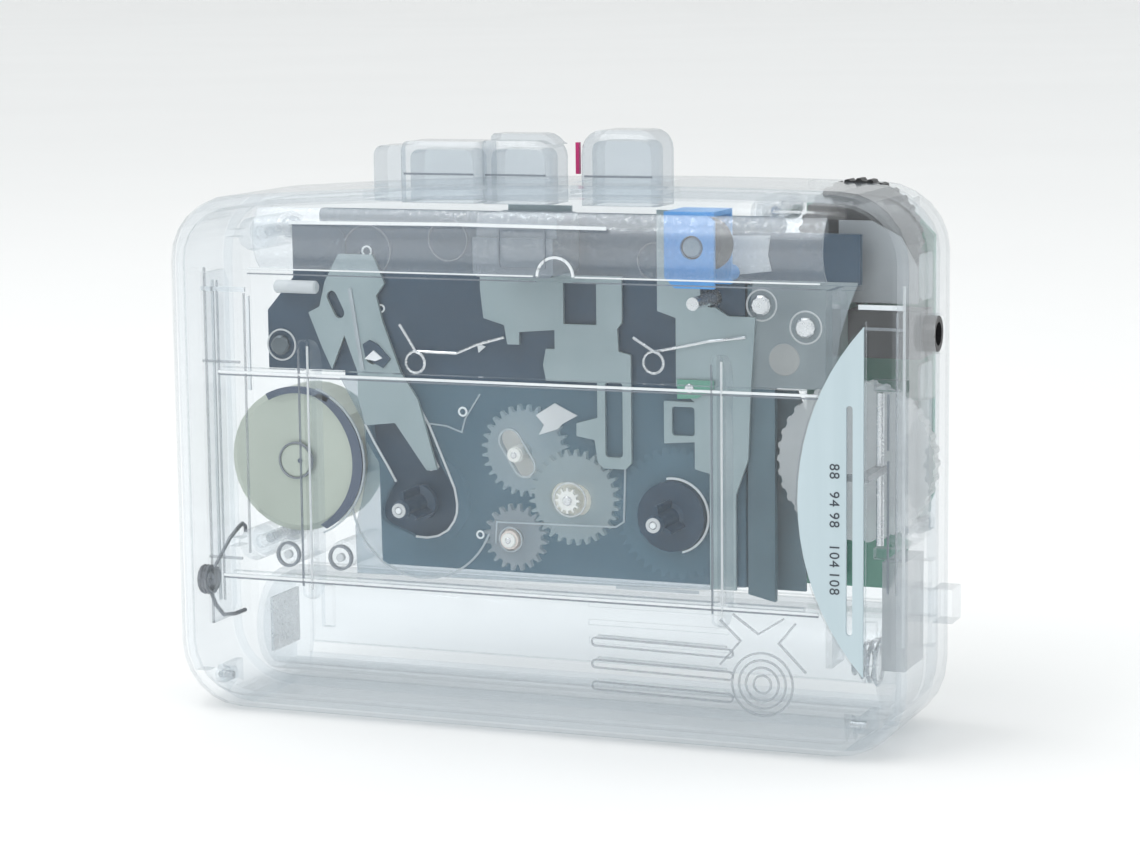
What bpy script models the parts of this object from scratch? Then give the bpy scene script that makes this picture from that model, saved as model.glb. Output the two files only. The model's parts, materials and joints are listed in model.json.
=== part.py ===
"""Portable cassette player with a radio dial, in clear plastic.

The player stands on its long lower edge. X runs to the right along the front, Y runs from the front to
the back and Z runs up. The origin is the middle of the resting face. Sizes are in millimetres and are
turned into metres where a mesh or a place is handed to Blender. Depths are counted from the front face.
"""

import math

import bmesh
import bpy
import numpy as np
from mathutils import Vector

MM = 0.001

# Case
WIDTH = 120.0
DEPTH = 33.0
CORNER = 10.5
DOOR_WALL = 1.8
FRAME_WALL = 1.8
COVER_WALL = 1.5
EDGE = 5.0
CROWN_TOP = 84.5
CROWN_X = 22.0
CROWN_FALL = 0.00049
SEAM_FRONT = 5.0
SEAM_REAR = 21.2
GAP = 0.3

# Cassette mechanism
REEL_Z = 32.6
SUPPLY_X = -23.4
TAKE_UP_X = 19.1
SPINDLE_TIP = 8.6
PLATE_FRONT = 16.7
PLATE_BACK = 17.3
CHASSIS_FRONT = 17.6
CHASSIS_BACK = 18.9
CAPSTAN = (25.8, 66.7)
CAPSTAN_R = 1.0
ROLLER = (26.9, 75.5)
ROLLER_R = 4.1
ARM_PIVOT = (29.2, 70.8)
MOTOR = (-46.0, 38.2)
MOTOR_R = 11.8
BELT_DEPTH = 29.0
FLYWHEEL_R = 11.0
GROOVE = 0.9
MOTOR_PULLEY_R = 2.6
DRIVE_PULLEY_R = 5.0
BELT_GAP = 0.3
BELT_THICK = 1.0

# Gears: module, teeth and the two layers that they turn in
MODULE = 0.5
TAKE_UP_TEETH = 40
IDLER_TEETH = 29
PINION_TEETH = 17
DRIVE_TEETH = 28
FAST_TEETH = 20
LAYER_A = (19.3, 20.5)
LAYER_B = (20.9, 22.1)
TAKE_UP = (TAKE_UP_X, REEL_Z)
SUPPLY = (SUPPLY_X, REEL_Z)

# Hinge of the door, battery tray and keys
HINGE_DEPTH = 5.0
HINGE_Z = 5.0
TRAY_DEPTH = 23.8
TRAY_Z = 10.5
CELL_R = 7.4
TRAY_WALL = 0.9
KEY_BOTTOM = 80.8
KEY_FRONT = 12.0
KEY_BACK = 20.0

# Controls
VOLUME = (47.0, 75.2)
VOLUME_R = 9.6
TUNING = (48.5, 42.5)
TUNING_R = 12.4
JACK_DEPTH = 22.7
JACK_Z = 61.7
SWITCH_DEPTH = 20.5
SWITCH_Z = 21.0
DIAL_EDGE_X = 55.0
DIAL_MID_Z = 39.2
DIAL_R = 38.7
DIAL_LEFT_X = 44.4
POINTER_SLOT_X = 52.6

COLOURS = {
    "clear": ((0.86, 0.89, 0.92, 0.28), 0.08, 0.0),
    "frosted": ((0.72, 0.75, 0.78, 0.5), 0.4, 0.0),
    "smoked": ((0.16, 0.21, 0.28, 0.75), 0.3, 0.0),
    "dark": ((0.07, 0.10, 0.16, 1.0), 0.45, 0.0),
    "steel": ((0.42, 0.47, 0.49, 1.0), 0.35, 0.8),
    "silver_panel": ((0.62, 0.68, 0.73, 1.0), 0.35, 0.5),
    "nylon": ((0.55, 0.54, 0.50, 1.0), 0.5, 0.0),
    "black": ((0.02, 0.02, 0.022, 1.0), 0.4, 0.0),
    "rubber": ((0.03, 0.03, 0.03, 1.0), 0.8, 0.0),
    "blue": ((0.08, 0.33, 0.68, 1.0), 0.4, 0.0),
    "magenta": ((0.45, 0.01, 0.12, 1.0), 0.4, 0.0),
    "board": ((0.10, 0.28, 0.20, 1.0), 0.5, 0.0),
    "motor_can": ((0.55, 0.60, 0.54, 1.0), 0.4, 0.7),
    "chrome": ((0.75, 0.75, 0.76, 1.0), 0.15, 1.0),
    "brass": ((0.66, 0.52, 0.26, 1.0), 0.3, 1.0),
}
SMOOTH_ANGLE = math.radians(35.0)


# ---------------------------------------------------------------------------------------------- helpers

def clear_scene():
    for obj in list(bpy.data.objects):
        bpy.data.objects.remove(obj)


def material(name):
    found = bpy.data.materials.get(name)
    if found:
        return found
    colour, roughness, metallic = COLOURS[name]
    made = bpy.data.materials.new(name)
    made.use_nodes = True
    shader = made.node_tree.nodes["Principled BSDF"]
    shader.inputs["Base Color"].default_value = colour
    shader.inputs["Roughness"].default_value = roughness
    shader.inputs["Metallic"].default_value = metallic
    shader.inputs["Alpha"].default_value = colour[3]
    made.diffuse_color = colour
    return made


def place(x, depth, z):
    """A point given by its distance behind the front face, in the object's own frame."""
    return Vector((x, depth - DEPTH / 2, z))


def add_object(name, bm, slot, origin=(0.0, 0.0, 0.0)):
    """One named object from a bmesh in millimetres. origin is the object's own origin, as (x, depth, z)."""
    centre = place(*origin) if any(origin) else Vector((0.0, 0.0, 0.0))
    bmesh.ops.remove_doubles(bm, verts=bm.verts, dist=1e-4)
    bmesh.ops.recalc_face_normals(bm, faces=bm.faces)
    bmesh.ops.translate(bm, verts=bm.verts, vec=-centre)
    bmesh.ops.scale(bm, verts=bm.verts, vec=(MM, MM, MM))
    mesh = bpy.data.meshes.new(name)
    bm.to_mesh(mesh)
    bm.free()
    mesh.shade_smooth()
    mesh.set_sharp_from_angle(angle=SMOOTH_ANGLE)
    obj = bpy.data.objects.new(name, mesh)
    obj.location = centre * MM
    bpy.context.scene.collection.objects.link(obj)
    obj.data.materials.append(material(slot))
    return obj


def new_tool(shapes):
    """One hidden operand from several bmeshes, for a Boolean."""
    joined = bmesh.new()
    for shape in shapes:
        bmesh.ops.remove_doubles(shape, verts=shape.verts, dist=1e-4)
        bmesh.ops.recalc_face_normals(shape, faces=shape.faces)
        piece = bpy.data.meshes.new("tool_piece")
        shape.to_mesh(piece)
        shape.free()
        joined.from_mesh(piece)
        bpy.data.meshes.remove(piece)
    bmesh.ops.scale(joined, verts=joined.verts, vec=(MM, MM, MM))
    mesh = bpy.data.meshes.new("tool")
    joined.to_mesh(mesh)
    joined.free()
    tool = bpy.data.objects.new("tool", mesh)
    bpy.context.scene.collection.objects.link(tool)
    tool.hide_render = True
    tool.display_type = "WIRE"
    return tool


def boolean(obj, operation, shapes, overlapping=False):
    modifier = obj.modifiers.new(operation.lower(), "BOOLEAN")
    modifier.operation = operation
    modifier.solver = "EXACT"
    modifier.use_self = overlapping
    modifier.object = new_tool(shapes)


def cut(obj, *shapes):
    boolean(obj, "DIFFERENCE", shapes)


def fuse(obj, *shapes, overlapping=False):
    boolean(obj, "UNION", shapes, overlapping)


def loft(loops, closed=False):
    """A solid through loops of equally many points. A closed one runs from the last loop to the first."""
    bm = bmesh.new()
    rings = [[bm.verts.new(point) for point in loop] for loop in loops]
    pairs = list(zip(rings, rings[1:]))
    if closed:
        pairs.append((rings[-1], rings[0]))
    for one, two in pairs:
        for i in range(len(one)):
            j = (i + 1) % len(one)
            bm.faces.new((one[i], one[j], two[j], two[i]))
    if not closed:
        bm.faces.new(rings[0])
        bm.faces.new(list(reversed(rings[-1])))
    return bm


def slab(outline, front, back):
    """An outline of (x, z) points carried from one depth to another."""
    return loft([[place(x, depth, z) for x, z in outline] for depth in (front, back)])


def rail(outline, left, right):
    """An outline of (depth, z) points carried along X."""
    return loft([[place(x, depth, z) for depth, z in outline] for x in (left, right)])


def box(left, right, front, back, low, high):
    return slab([(left, low), (right, low), (right, high), (left, high)], front, back)


def arc(centre, radius, start, end, steps):
    """Points on an arc, with both ends. Angles are in degrees."""
    angles = np.radians(np.linspace(start, end, steps + 1))
    return [(centre[0] + radius * math.cos(a), centre[1] + radius * math.sin(a)) for a in angles]


def circle(centre, radius, steps=24):
    return arc(centre, radius, 0.0, 360.0, steps)[:-1]


def rounded(left, right, low, high, radius, steps=4, top_radius=None):
    """A rectangle with round corners."""
    top = radius if top_radius is None else top_radius
    corners = (((left + radius, low + radius), radius, 180), ((right - radius, low + radius), radius, 270),
               ((right - top, high - top), top, 0), ((left + top, high - top), top, 90))
    points = []
    for centre, r, start in corners:
        points += arc(centre, r, start, start + 90, steps)
    return points


def slot_outline(start, end, radius, steps=8):
    """A slot with round ends between two centres."""
    angle = math.degrees(math.atan2(end[1] - start[1], end[0] - start[0]))
    return arc(end, radius, angle - 90, angle + 90, steps) + arc(start, radius, angle + 90, angle + 270,
                                                                 steps)


def cylinder_y(centre, radius, front, back, steps=24):
    return slab(circle(centre, radius, steps), front, back)


def cylinder_x(depth, z, radius, left, right, steps=16):
    return rail(circle((depth, z), radius, steps), left, right)


def turned(centre, profile, steps=20):
    """A solid of revolution about an axis along Y. profile is (radius, depth), front to back, on the axis
    at
    both ends."""
    bm = bmesh.new()
    rings = []
    for radius, depth in profile:
        if radius == 0:
            rings.append([bm.verts.new(place(centre[0], depth, centre[1]))])
        else:
            rings.append([bm.verts.new(place(x, depth, z)) for x, z in circle(centre, radius, steps)])
    for one, two in zip(rings, rings[1:]):
        for i in range(steps):
            j = (i + 1) % steps
            if len(one) == 1:
                bm.faces.new((one[0], two[j], two[i]))
            elif len(two) == 1:
                bm.faces.new((one[i], one[j], two[0]))
            else:
                bm.faces.new((one[i], one[j], two[j], two[i]))
    return bm


def crown(x):
    """Height of the bowed top of the case."""
    return CROWN_TOP - CROWN_FALL * (x - CROWN_X) ** 2


def case_outline(inset):
    """The case seen from the front, drawn in by inset: square-sided, round-cornered and bowed on top."""
    half = WIDTH / 2 - CORNER
    radius = CORNER - inset
    points = arc((-half, CORNER), radius, 180, 270, 6)
    points += arc((half, CORNER), radius, 270, 360, 6)
    points += arc((half, crown(half) - CORNER), radius, 0, 90, 6)
    points += [(x, crown(x) - inset) for x in np.linspace(half, -half, 8)[1:-1]]
    points += arc((-half, crown(-half) - CORNER), radius, 90, 180, 6)
    return points


def case_loop(depth, inset):
    return [place(x, depth, z) for x, z in case_outline(inset)]


def rounded_rim(wall, steps=4):
    """(depth behind the face, inset) pairs of a shell's round edge: outside from face to side, then
    inside."""
    turns = np.radians(np.linspace(90, 0, steps + 1))
    inner = EDGE - wall
    outside = [(EDGE * (1 - math.sin(t)), EDGE * (1 - math.cos(t))) for t in turns]
    inside = [(EDGE - inner * math.sin(t), wall + inner * (1 - math.cos(t))) for t in turns[::-1]]
    return outside, inside


def wire(name, points, radius, slot, resolution=1):
    """Round wire along (x, depth, z) points."""
    curve = bpy.data.curves.new(name, "CURVE")
    curve.dimensions = "3D"
    curve.bevel_depth = radius * MM
    curve.bevel_resolution = resolution
    curve.use_fill_caps = True
    spline = curve.splines.new("POLY")
    spline.points.add(len(points) - 1)
    for point, target in zip(spline.points, points):
        point.co = (*(place(*target) * MM), 1.0)
    curve.materials.append(material(slot))
    obj = bpy.data.objects.new(name, curve)
    bpy.context.scene.collection.objects.link(obj)
    return obj


# ------------------------------------------------------------------------------------------ case pieces

def dial_outline(inset=0.0):
    """Crescent: a straight right edge and a wide arc to its left."""
    centre = (DIAL_LEFT_X + DIAL_R, DIAL_MID_Z)
    radius = DIAL_R - inset
    right = DIAL_EDGE_X - inset
    reach = math.degrees(math.acos((centre[0] - right) / radius))
    return arc(centre, radius, 180 - reach, 180 + reach, 20)


def make_front_door():
    outside, inside = rounded_rim(DOOR_WALL)
    loops = [case_loop(depth, inset) for depth, inset in outside]
    loops += [case_loop(depth, inset) for depth, inset in inside]
    door = add_object("front_door", loft(loops), "clear", (0.0, HINGE_DEPTH, HINGE_Z))
    inner = DOOR_WALL - 0.3
    fin = [(inner, 19.0), (3.0, 19.0), *arc((3.0, 22.0), 3.0, 270, 360, 4),
           *arc((2.0, 56.0), 4.0, 0, 90, 4), (inner, 60.1)]
    guide = [(inner, 14.0), (8.0, 14.0), (9.5, 16.0), (9.5, 68.0), (8.0, 70.0), (inner, 70.0)]
    ear = [(2.4, 2.2), (HINGE_DEPTH, HINGE_Z - 1.4), *arc((HINGE_DEPTH, HINGE_Z), 1.4, -80, 120, 8),
           (1.5, 7.5)]
    shapes = [rail(fin, x, x + 1.15) for x in (-36.2, 31.7)]
    shapes += [rail(guide, -53.9, -52.9), rail(guide, 48.5, 49.5)]
    shapes += [rail(ear, -52.6, -51.4), rail(ear, 51.4, 52.6)]
    fuse(door, *shapes, overlapping=True)
    ridges = [box(-50.7, 45.3, inner, 3.4, 54.5, 55.15), box(-49.4, 45.0, inner, 3.2, 22.0, 22.65)]
    fuse(door, *ridges)
    band_edge = box(-56.0, 54.6, -1.0, 0.35, 70.3, 70.9)
    cut(door, slab(dial_outline(), -1.0, 0.8), band_edge, slab(circle((6.5, 72.9), 1.9, 16), -1.0, 0.45))
    cut(door, *[cylinder_x(HINGE_DEPTH, HINGE_Z, 0.85, x - 1.0, x + 1.0, 12) for x in (-52.0, 52.0)])


def make_dial_panel():
    panel = add_object("dial_panel", slab(dial_outline(0.3), 0.0, 0.5), "silver_panel")
    cut(panel, slab(slot_outline((POINTER_SLOT_X, 20.0), (POINTER_SLOT_X, 53.0), 0.5), -1.0, 2.0))


def make_hinge_pins():
    for name, left in (("hinge_pin_left", -54.0), ("hinge_pin_right", 51.5)):
        add_object(name, cylinder_x(HINGE_DEPTH, HINGE_Z, 0.6, left, left + 2.5, 12), "chrome",
                   (left, HINGE_DEPTH, HINGE_Z))


def key_openings(front, back):
    return [box(-29.9, 2.0, front, back, 75.0, 95.0), box(5.0, 19.4, front, back, 75.0, 95.0)]


def side_openings():
    """Holes in the right side for the tuning wheel, the band switch and the headphone jack."""
    return [box(57.0, 62.0, 16.8, 20.7, 32.6, 52.4),
            box(57.0, 62.0, 18.9, 22.1, 14.4, 27.6),
            cylinder_x(JACK_DEPTH, JACK_Z, 3.1, 57.0, 62.0, 20)]


SCREWS = ((-52.5, 74.8), (34.0, 79.6), (-53.6, 24.0), (54.6, 31.3))
BOSS_R = 2.7
SPRING_PEG = (7.4, 19.8)
GUIDE_ROD_LOW = 31.0
GUIDE_ROD_HIGH = 54.0


def make_main_frame():
    """Ring-shaped middle of the case, with the door's hinge lugs, screw bosses and the guide rod's
    brackets."""
    front = SEAM_FRONT + GAP
    back = SEAM_REAR - GAP / 2
    side = WIDTH / 2 - 1.4
    loops = [case_loop(front, 0.0), case_loop(back, 0.0), case_loop(back, FRAME_WALL),
             case_loop(front, FRAME_WALL)]
    frame = add_object("main_frame", loft(loops, closed=True), "clear")
    hinge_relief = box(-65.0, 65.0, 4.0, 8.0, -1.0, 5.2)
    cut(frame, hinge_relief, *key_openings(11.5, 23.0), *side_openings())
    lug = [*arc((HINGE_DEPTH, HINGE_Z), 1.4, 90, 270, 8), (8.6, 3.6), (8.6, 1.9), (11.0, 1.9), (11.0, 6.4)]
    shapes = [rail(lug, -54.1, -52.9), rail(lug, 52.9, 54.1)]
    for x, z in (SCREWS[0], SCREWS[2]):
        shapes.append(cylinder_y((x, z), BOSS_R, 17.4, back, 16))
        shapes.append(box(-side, x, 17.6, back - 0.2, z - 0.6, z + 0.6))
    x, z = SCREWS[1]
    shapes.append(cylinder_y((x, z), BOSS_R, 19.0, back, 16))
    shapes.append(box(x - 0.6, x + 0.6, 19.2, back - 0.2, z, z + 3.6))
    shapes.append(rail(circle(SPRING_PEG, 1.2, 12), -side - 0.2, -55.4))
    shapes.append(box(-side, -56.4, 17.2, 18.2, 23.4, 25.0))
    for z in (GUIDE_ROD_LOW - 2.0, GUIDE_ROD_HIGH + 0.3):
        shapes.append(box(53.2, side, 10.6, 12.4, z, z + 1.7))
    fuse(frame, *shapes, overlapping=True)
    holes = [cylinder_x(HINGE_DEPTH, HINGE_Z, 0.85, x - 1.0, x + 1.0, 12) for x in (-53.5, 53.5)]
    holes += [cylinder_y(centre, 1.1, 19.8, 22.0, 12) for centre in SCREWS[:3]]
    cut(frame, *holes)


def make_rear_cover():
    outside, inside = rounded_rim(COVER_WALL)
    front = SEAM_REAR + GAP / 2
    loops = [case_loop(DEPTH - depth, inset) for depth, inset in outside] + [case_loop(front, 0.0)]
    loops += [case_loop(front, COVER_WALL)] + [case_loop(DEPTH - depth, inset) for depth, inset in inside]
    cover = add_object("rear_cover", loft(loops), "clear")
    inner = DEPTH - COVER_WALL + 0.3
    posts = [cylinder_y(centre, BOSS_R, front + 0.15, inner, 16) for centre in SCREWS]
    posts += [cylinder_y(centre, 2.3, 19.4, inner, 16) for centre in ((-48.0, 22.8), (-38.5, 22.8))]
    fuse(cover, *posts, overlapping=True)
    door_seat = box(-50.9, 50.9, 31.2, 34.0, -1.0, 18.4)
    battery_opening = box(-50.9, 50.9, 30.0, 34.0, 3.4, 17.6)
    volume_slot = box(VOLUME[0] - 7.8, VOLUME[0] + 8.6, 23.1, 26.9, 79.4, 86.0)
    cut(cover, door_seat, volume_slot, *side_openings())
    cut(cover, battery_opening)
    cut(cover, *[cylinder_y(centre, 2.2, 31.0, 34.0, 16) for centre in SCREWS])
    cut(cover, *[cylinder_y(centre, 1.1, 20.0, 32.0, 12) for centre in SCREWS])


def make_battery_door():
    door = add_object("battery_door", box(-50.5, 50.5, 31.6, DEPTH, 5.0, 18.0), "clear")
    cut(door, *[box(-1.0, 23.0, DEPTH - 0.5, DEPTH + 1.0, z, z + 0.9) for z in (8.0, 11.0, 14.0)])
    rails = [box(x - 1.0, x + 1.0, 30.2, 32.0, 8.0, 15.0) for x in (-47.0, 47.0)]
    fuse(door, *rails)


def make_battery_tray():
    outer = CELL_R + TRAY_WALL
    rear = 28.6
    profile = [(rear, TRAY_Z + outer), *arc((TRAY_DEPTH, TRAY_Z), outer, 90, 270, 12),
               (rear, TRAY_Z - outer),
               (rear, TRAY_Z - CELL_R), *arc((TRAY_DEPTH, TRAY_Z), CELL_R, 270, 90, 12),
               (rear, TRAY_Z + CELL_R)]
    tray = add_object("battery_tray", rail(profile, -52.4, 52.4), "clear")
    closed = [(rear, TRAY_Z + outer), *arc((TRAY_DEPTH, TRAY_Z), outer, 90, 270, 12),
              (rear, TRAY_Z - outer)]
    fuse(tray, rail(closed, -52.6, -51.9), rail(closed, 51.9, 52.6))


def make_battery_contacts():
    plate = [(18.6, TRAY_Z - 4.5), (28.2, TRAY_Z - 4.5), (28.2, TRAY_Z + 4.5), (18.6, TRAY_Z + 4.5)]
    add_object("battery_contact_plate", rail(plate, -51.6, -51.1), "chrome")
    points = []
    turns = 4
    steps = 10
    for i in range(turns * steps + 1):
        t = i / (turns * steps)
        angle = 2 * math.pi * i / steps
        radius = 4.0 - 2.0 * t
        points.append((51.3 - 5.0 * t, TRAY_DEPTH + radius * math.cos(angle),
                       TRAY_Z + radius * math.sin(angle)))
    wire("battery_spring", points, 0.35, "chrome")


def make_door_spring():
    """Torsion spring round a peg on the left wall, with one leg hooked up on the frame and one leg down."""
    radius = 2.1
    points = [(-56.0, 19.0, 25.6), (-56.0, 18.9, 26.6), (-56.0, 17.9, 27.2), (-56.0, 16.6, 26.8),
              (-56.0, 13.6, 25.6)]
    turns = 3
    steps = 12
    for i in range(turns * steps + 5):
        angle = math.radians(80 - 360 * i / steps)
        along = -55.9 - 1.9 * i / (turns * steps + 4)
        points.append((along, *[c + radius * f for c, f in zip(SPRING_PEG,
                                                               (math.cos(angle), math.sin(angle)))]))
    points += [(-57.8, 11.4, 14.8), (-57.8, 14.0, 12.6), (-57.8, 18.0, 12.0), (-57.2, 20.5, 12.2)]
    wire("door_spring", points, 0.35, "chrome")


# ------------------------------------------------------------------------------------------------- keys

def key_outline(left, right, high, left_radius, right_radius):
    """A key seen from the front: square below and rounded at each top corner."""
    return [(left, KEY_BOTTOM), (right, KEY_BOTTOM),
            *arc((right - right_radius, high - right_radius), right_radius, 0, 90, 5),
            *arc((left + left_radius, high - left_radius), left_radius, 90, 180, 5)]


def hollow_key(name, sides, radii, hollow):
    """Clear push key, open underneath, with its edges eased. sides is (left, right, top)."""
    left, right, top = sides
    loops = []
    for depth, side, above in ((KEY_FRONT, 0.6, 1.3), (KEY_FRONT + 0.3, 0.25, 0.6),
                               (KEY_FRONT + 1.0, 0.0, 0.0),
                               (KEY_BACK - 0.6, 0.0, 0.0), (KEY_BACK, 0.6, 0.6)):
        points = key_outline(left + side, right - side, top - above, *[max(r - side, 0.3) for r in radii])
        loops.append([place(x, depth, z) for x, z in points])
    key = add_object(name, loft(loops), "clear", ((left + right) / 2, (KEY_FRONT + KEY_BACK) / 2,
                                                  KEY_BOTTOM))
    inner_left, inner_right, inner_top = hollow
    inside = rounded(inner_left, inner_right, KEY_BOTTOM - 2, inner_top, 0.4, 3, 1.4)
    cut(key, slab(inside, KEY_FRONT + 1.3, KEY_BACK - 1.3))
    return key


def make_keys():
    play = hollow_key("play_key", (-10.1, 1.5, 90.5), (0.5, 2.6), (-8.8, 0.1, 89.2))
    raised = [key_outline(-9.7 + inset, 1.5 - inset, 91.5 - inset, 0.8, 3.3 - inset) for inset in (0.0,
                                                                                                   0.5)]
    step = [[place(x, depth, z) for x, z in outline if z > 89.8 or z == KEY_BOTTOM]
            for outline, depth in ((raised[0], 15.4), (raised[0], KEY_BACK - 0.5), (raised[1], KEY_BACK))]
    for loop in step:
        for point in loop[:2]:
            point.z = 89.8
    fuse(play, loft(step), overlapping=True)
    forward = hollow_key("fast_forward_key", (-23.9, -10.5, 90.3), (1.2, 0.4), (-22.5, -11.9, 89.0))
    left_step = key_outline(-29.4, -23.5, 89.5, 1.6, 0.4)
    left_step[0] = (-29.4, KEY_BOTTOM + 0.02)
    left_step[1] = (-23.5, KEY_BOTTOM + 0.02)
    fuse(forward, slab(left_step, 14.6, 19.7))
    hollow_key("stop_key", (6.3, 18.9, 92.3), (3.4, 3.0), (7.9, 17.4, 90.6))
    add_object("stop_key_marker", box(5.5, 6.05, 12.5, 13.3, 85.6, 90.4), "magenta", (5.8, 13.0, 85.6))


# ------------------------------------------------------------------------------ slides, head and roller

HEAD_PLATE = [(-7.5, 80.4), (-7.5, 69.6), (-12.5, 69.6), (-12.5, 67.0), (-12.0, 62.5), (-8.5, 61.5),
              (-8.0, 58.5), (-6.0, 58.5), (-6.0, 60.5), (0.0, 61.0), (0.0, 58.0), (-1.5, 58.0),
              (-2.0, 55.5),
              (-1.5, 53.0), (7.0, 53.0), (7.0, 47.5), (3.5, 46.5), (3.5, 44.5), (6.5, 44.0), (7.0, 40.5),
              (8.0, 39.6), (11.6, 39.6), (12.6, 40.6), (12.6, 57.5), (10.6, 58.0), (10.4, 61.5),
              (11.2, 62.5),
              (11.2, 69.6), (3.0, 69.6), (3.0, 80.4)]
STOP_PLATE = [(17.0, 80.0), (17.0, 64.5), (20.0, 63.5), (20.0, 53.0), (23.0, 50.6), (18.0, 50.6),
              (18.0, 44.0),
              (23.0, 44.4), (23.0, 40.2), (25.4, 39.6), (25.4, 21.6), (29.6, 21.6), (29.6, 36.5),
              (31.6, 42.0),
              (32.0, 51.5), (32.8, 64.0), (28.5, 64.0), (24.0, 66.8), (24.0, 80.0)]
LEVER = [(-42.5, 62.5), (-40.5, 63.5), (-39.5, 67.5), (-37.0, 72.0), (-31.0, 72.0), (-29.0, 67.5),
         (-30.5, 65.5),
         (-29.5, 61.5), (-26.5, 53.5), (-23.5, 49.0), (-20.4, 38.0), (-22.2, 37.8), (-27.6, 45.2),
         (-32.8, 44.6),
         (-34.0, 49.0), (-34.0, 53.2), (-36.2, 59.0), (-38.5, 53.5), (-40.0, 56.5)]
LEVER_PIVOT = (-31.2, 55.9)


def make_slides():
    window = box(1.5, 7.0, 16.0, 18.0, 62.0, 68.4)
    slot = slab(rounded(8.3, 11.2, 41.4, 53.2, 0.6), 16.0, 18.0)
    head_plate = add_object("head_plate", slab(HEAD_PLATE, PLATE_FRONT, PLATE_BACK), "steel")
    cut(head_plate, window, slot)
    capstan_end = (CAPSTAN[0], CAPSTAN[1] + 3.2)
    stop_plate = add_object("stop_slide", slab(STOP_PLATE, PLATE_FRONT, PLATE_BACK), "steel")
    cut(stop_plate, slab(rounded(19.3, 23.0, 45.3, 49.8, 0.5), 16.0, 18.0),
        slab(slot_outline(CAPSTAN, capstan_end, CAPSTAN_R + 0.45), 16.0, 18.0))
    lever = add_object("fast_forward_lever", slab(LEVER, PLATE_FRONT, PLATE_BACK), "steel",
                       (LEVER_PIVOT[0], PLATE_FRONT, LEVER_PIVOT[1]))
    cut(lever, cylinder_y(LEVER_PIVOT, 1.4, 16.0, 18.0, 16),
        slab(slot_outline((-38.3, 65.2), (-37.0, 62.6), 0.9), 16.0, 18.0))


def make_head():
    head = add_object("playback_head", slab(rounded(-8.8, 4.4, 70.2, 79.6, 1.0), 5.4, 16.3), "chrome")
    cut(head, box(-10.0, 6.0, 4.0, 7.2, 76.2, 81.0))


def make_pinch_roller():
    """The arm is a bent strip: a front and a back plate joined by a bridge, with the roller between
    them."""
    plate = [(22.6, 71.0), (24.2, 69.4), (30.4, 69.4), (30.4, 79.4), (29.0, 80.8), (22.6, 80.8)]
    back_plate = [(22.6, 72.0), (25.6, 69.4), (30.4, 69.4), (30.4, 80.8), (22.6, 80.8)]
    arm = add_object("pinch_arm", slab(plate, 4.5, 5.3), "blue", (ARM_PIVOT[0], 10.0, ARM_PIVOT[1]))
    bridge = box(22.6, 30.4, 4.8, 13.0, 80.1, 80.8)
    pivot = cylinder_y(ARM_PIVOT, 1.3, 12.8, 16.4, 12)
    fuse(arm, slab(back_plate, 12.4, 13.2), bridge, pivot, overlapping=True)
    notch_top = (CAPSTAN[0], CAPSTAN[1] + 4.2)
    cut(arm, cylinder_y(ROLLER, 1.8, 3.0, 6.0, 20), cylinder_y(ROLLER, 1.0, 11.0, 14.0, 12))
    cut(arm, slab(slot_outline(CAPSTAN, notch_top, CAPSTAN_R + 0.7), 11.5, 14.0))
    centre = (ROLLER[0], 9.0, ROLLER[1])
    pin = [(0.0, 4.6), (1.3, 4.6), (1.5, 4.8), (1.5, 5.4), (0.75, 5.5), (0.75, 13.6), (0.0, 13.6)]
    add_object("pinch_roller_pin", turned(ROLLER, pin, 16), "chrome", centre)
    roller = add_object("pinch_roller", cylinder_y(ROLLER, ROLLER_R, 5.8, 12.0, 28), "rubber", centre)
    cut(roller, cylinder_y(ROLLER, 1.05, 5.0, 13.0, 12))


# --------------------------------------------------------------------------------- chassis and its gears

CHASSIS = [(-35.2, 20.2), (24.8, 21.2), (30.9, 22.0), (30.9, 52.1), (-37.6, 52.1), (-33.6, 45.0),
           (-32.9, 38.2),
           (-34.2, 32.0), (-35.4, 28.0)]
UPPER = [(-50.2, 53.2), (-36.6, 53.2), (-36.6, 52.4), (30.9, 52.4), (30.9, 69.2), (49.0, 69.2),
         (49.0, 76.8),
         (-45.5, 76.8), (-45.5, 68.0), (-50.2, 62.6)]
SIDE = [(31.3, 21.0), (35.6, 20.0), (35.6, 54.0), (43.5, 56.0), (43.5, 68.8), (31.3, 68.8)]
CHASSIS_SCREWS = ((33.6, 65.8), (40.6, 62.6), (-47.8, 57.0))
TEARDROP = [(-32.2, 44.3), (-23.8, 48.2), (-20.0, 38.4), *arc((-23.4, 32.6), 6.0, 20, -120, 8),
            *arc((-28.4, 30.6), 2.4, 240, 150, 3), (-28.4, 35.6), (-31.9, 41.6)]


def gear_places():
    """Centres of the idler, drive and fast gears, each one in mesh with its neighbour."""
    idler = step_from(TAKE_UP, 174.6, MODULE * (TAKE_UP_TEETH + IDLER_TEETH) / 2)
    drive = step_from(idler, 142.8, MODULE * (PINION_TEETH + DRIVE_TEETH) / 2)
    fast = step_from(idler, 214.4, MODULE * (IDLER_TEETH + FAST_TEETH) / 2)
    return idler, drive, fast


def step_from(start, angle, distance):
    turn = math.radians(angle)
    return (start[0] + distance * math.cos(turn), start[1] + distance * math.sin(turn))


IDLER, DRIVE, FAST = gear_places()


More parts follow.
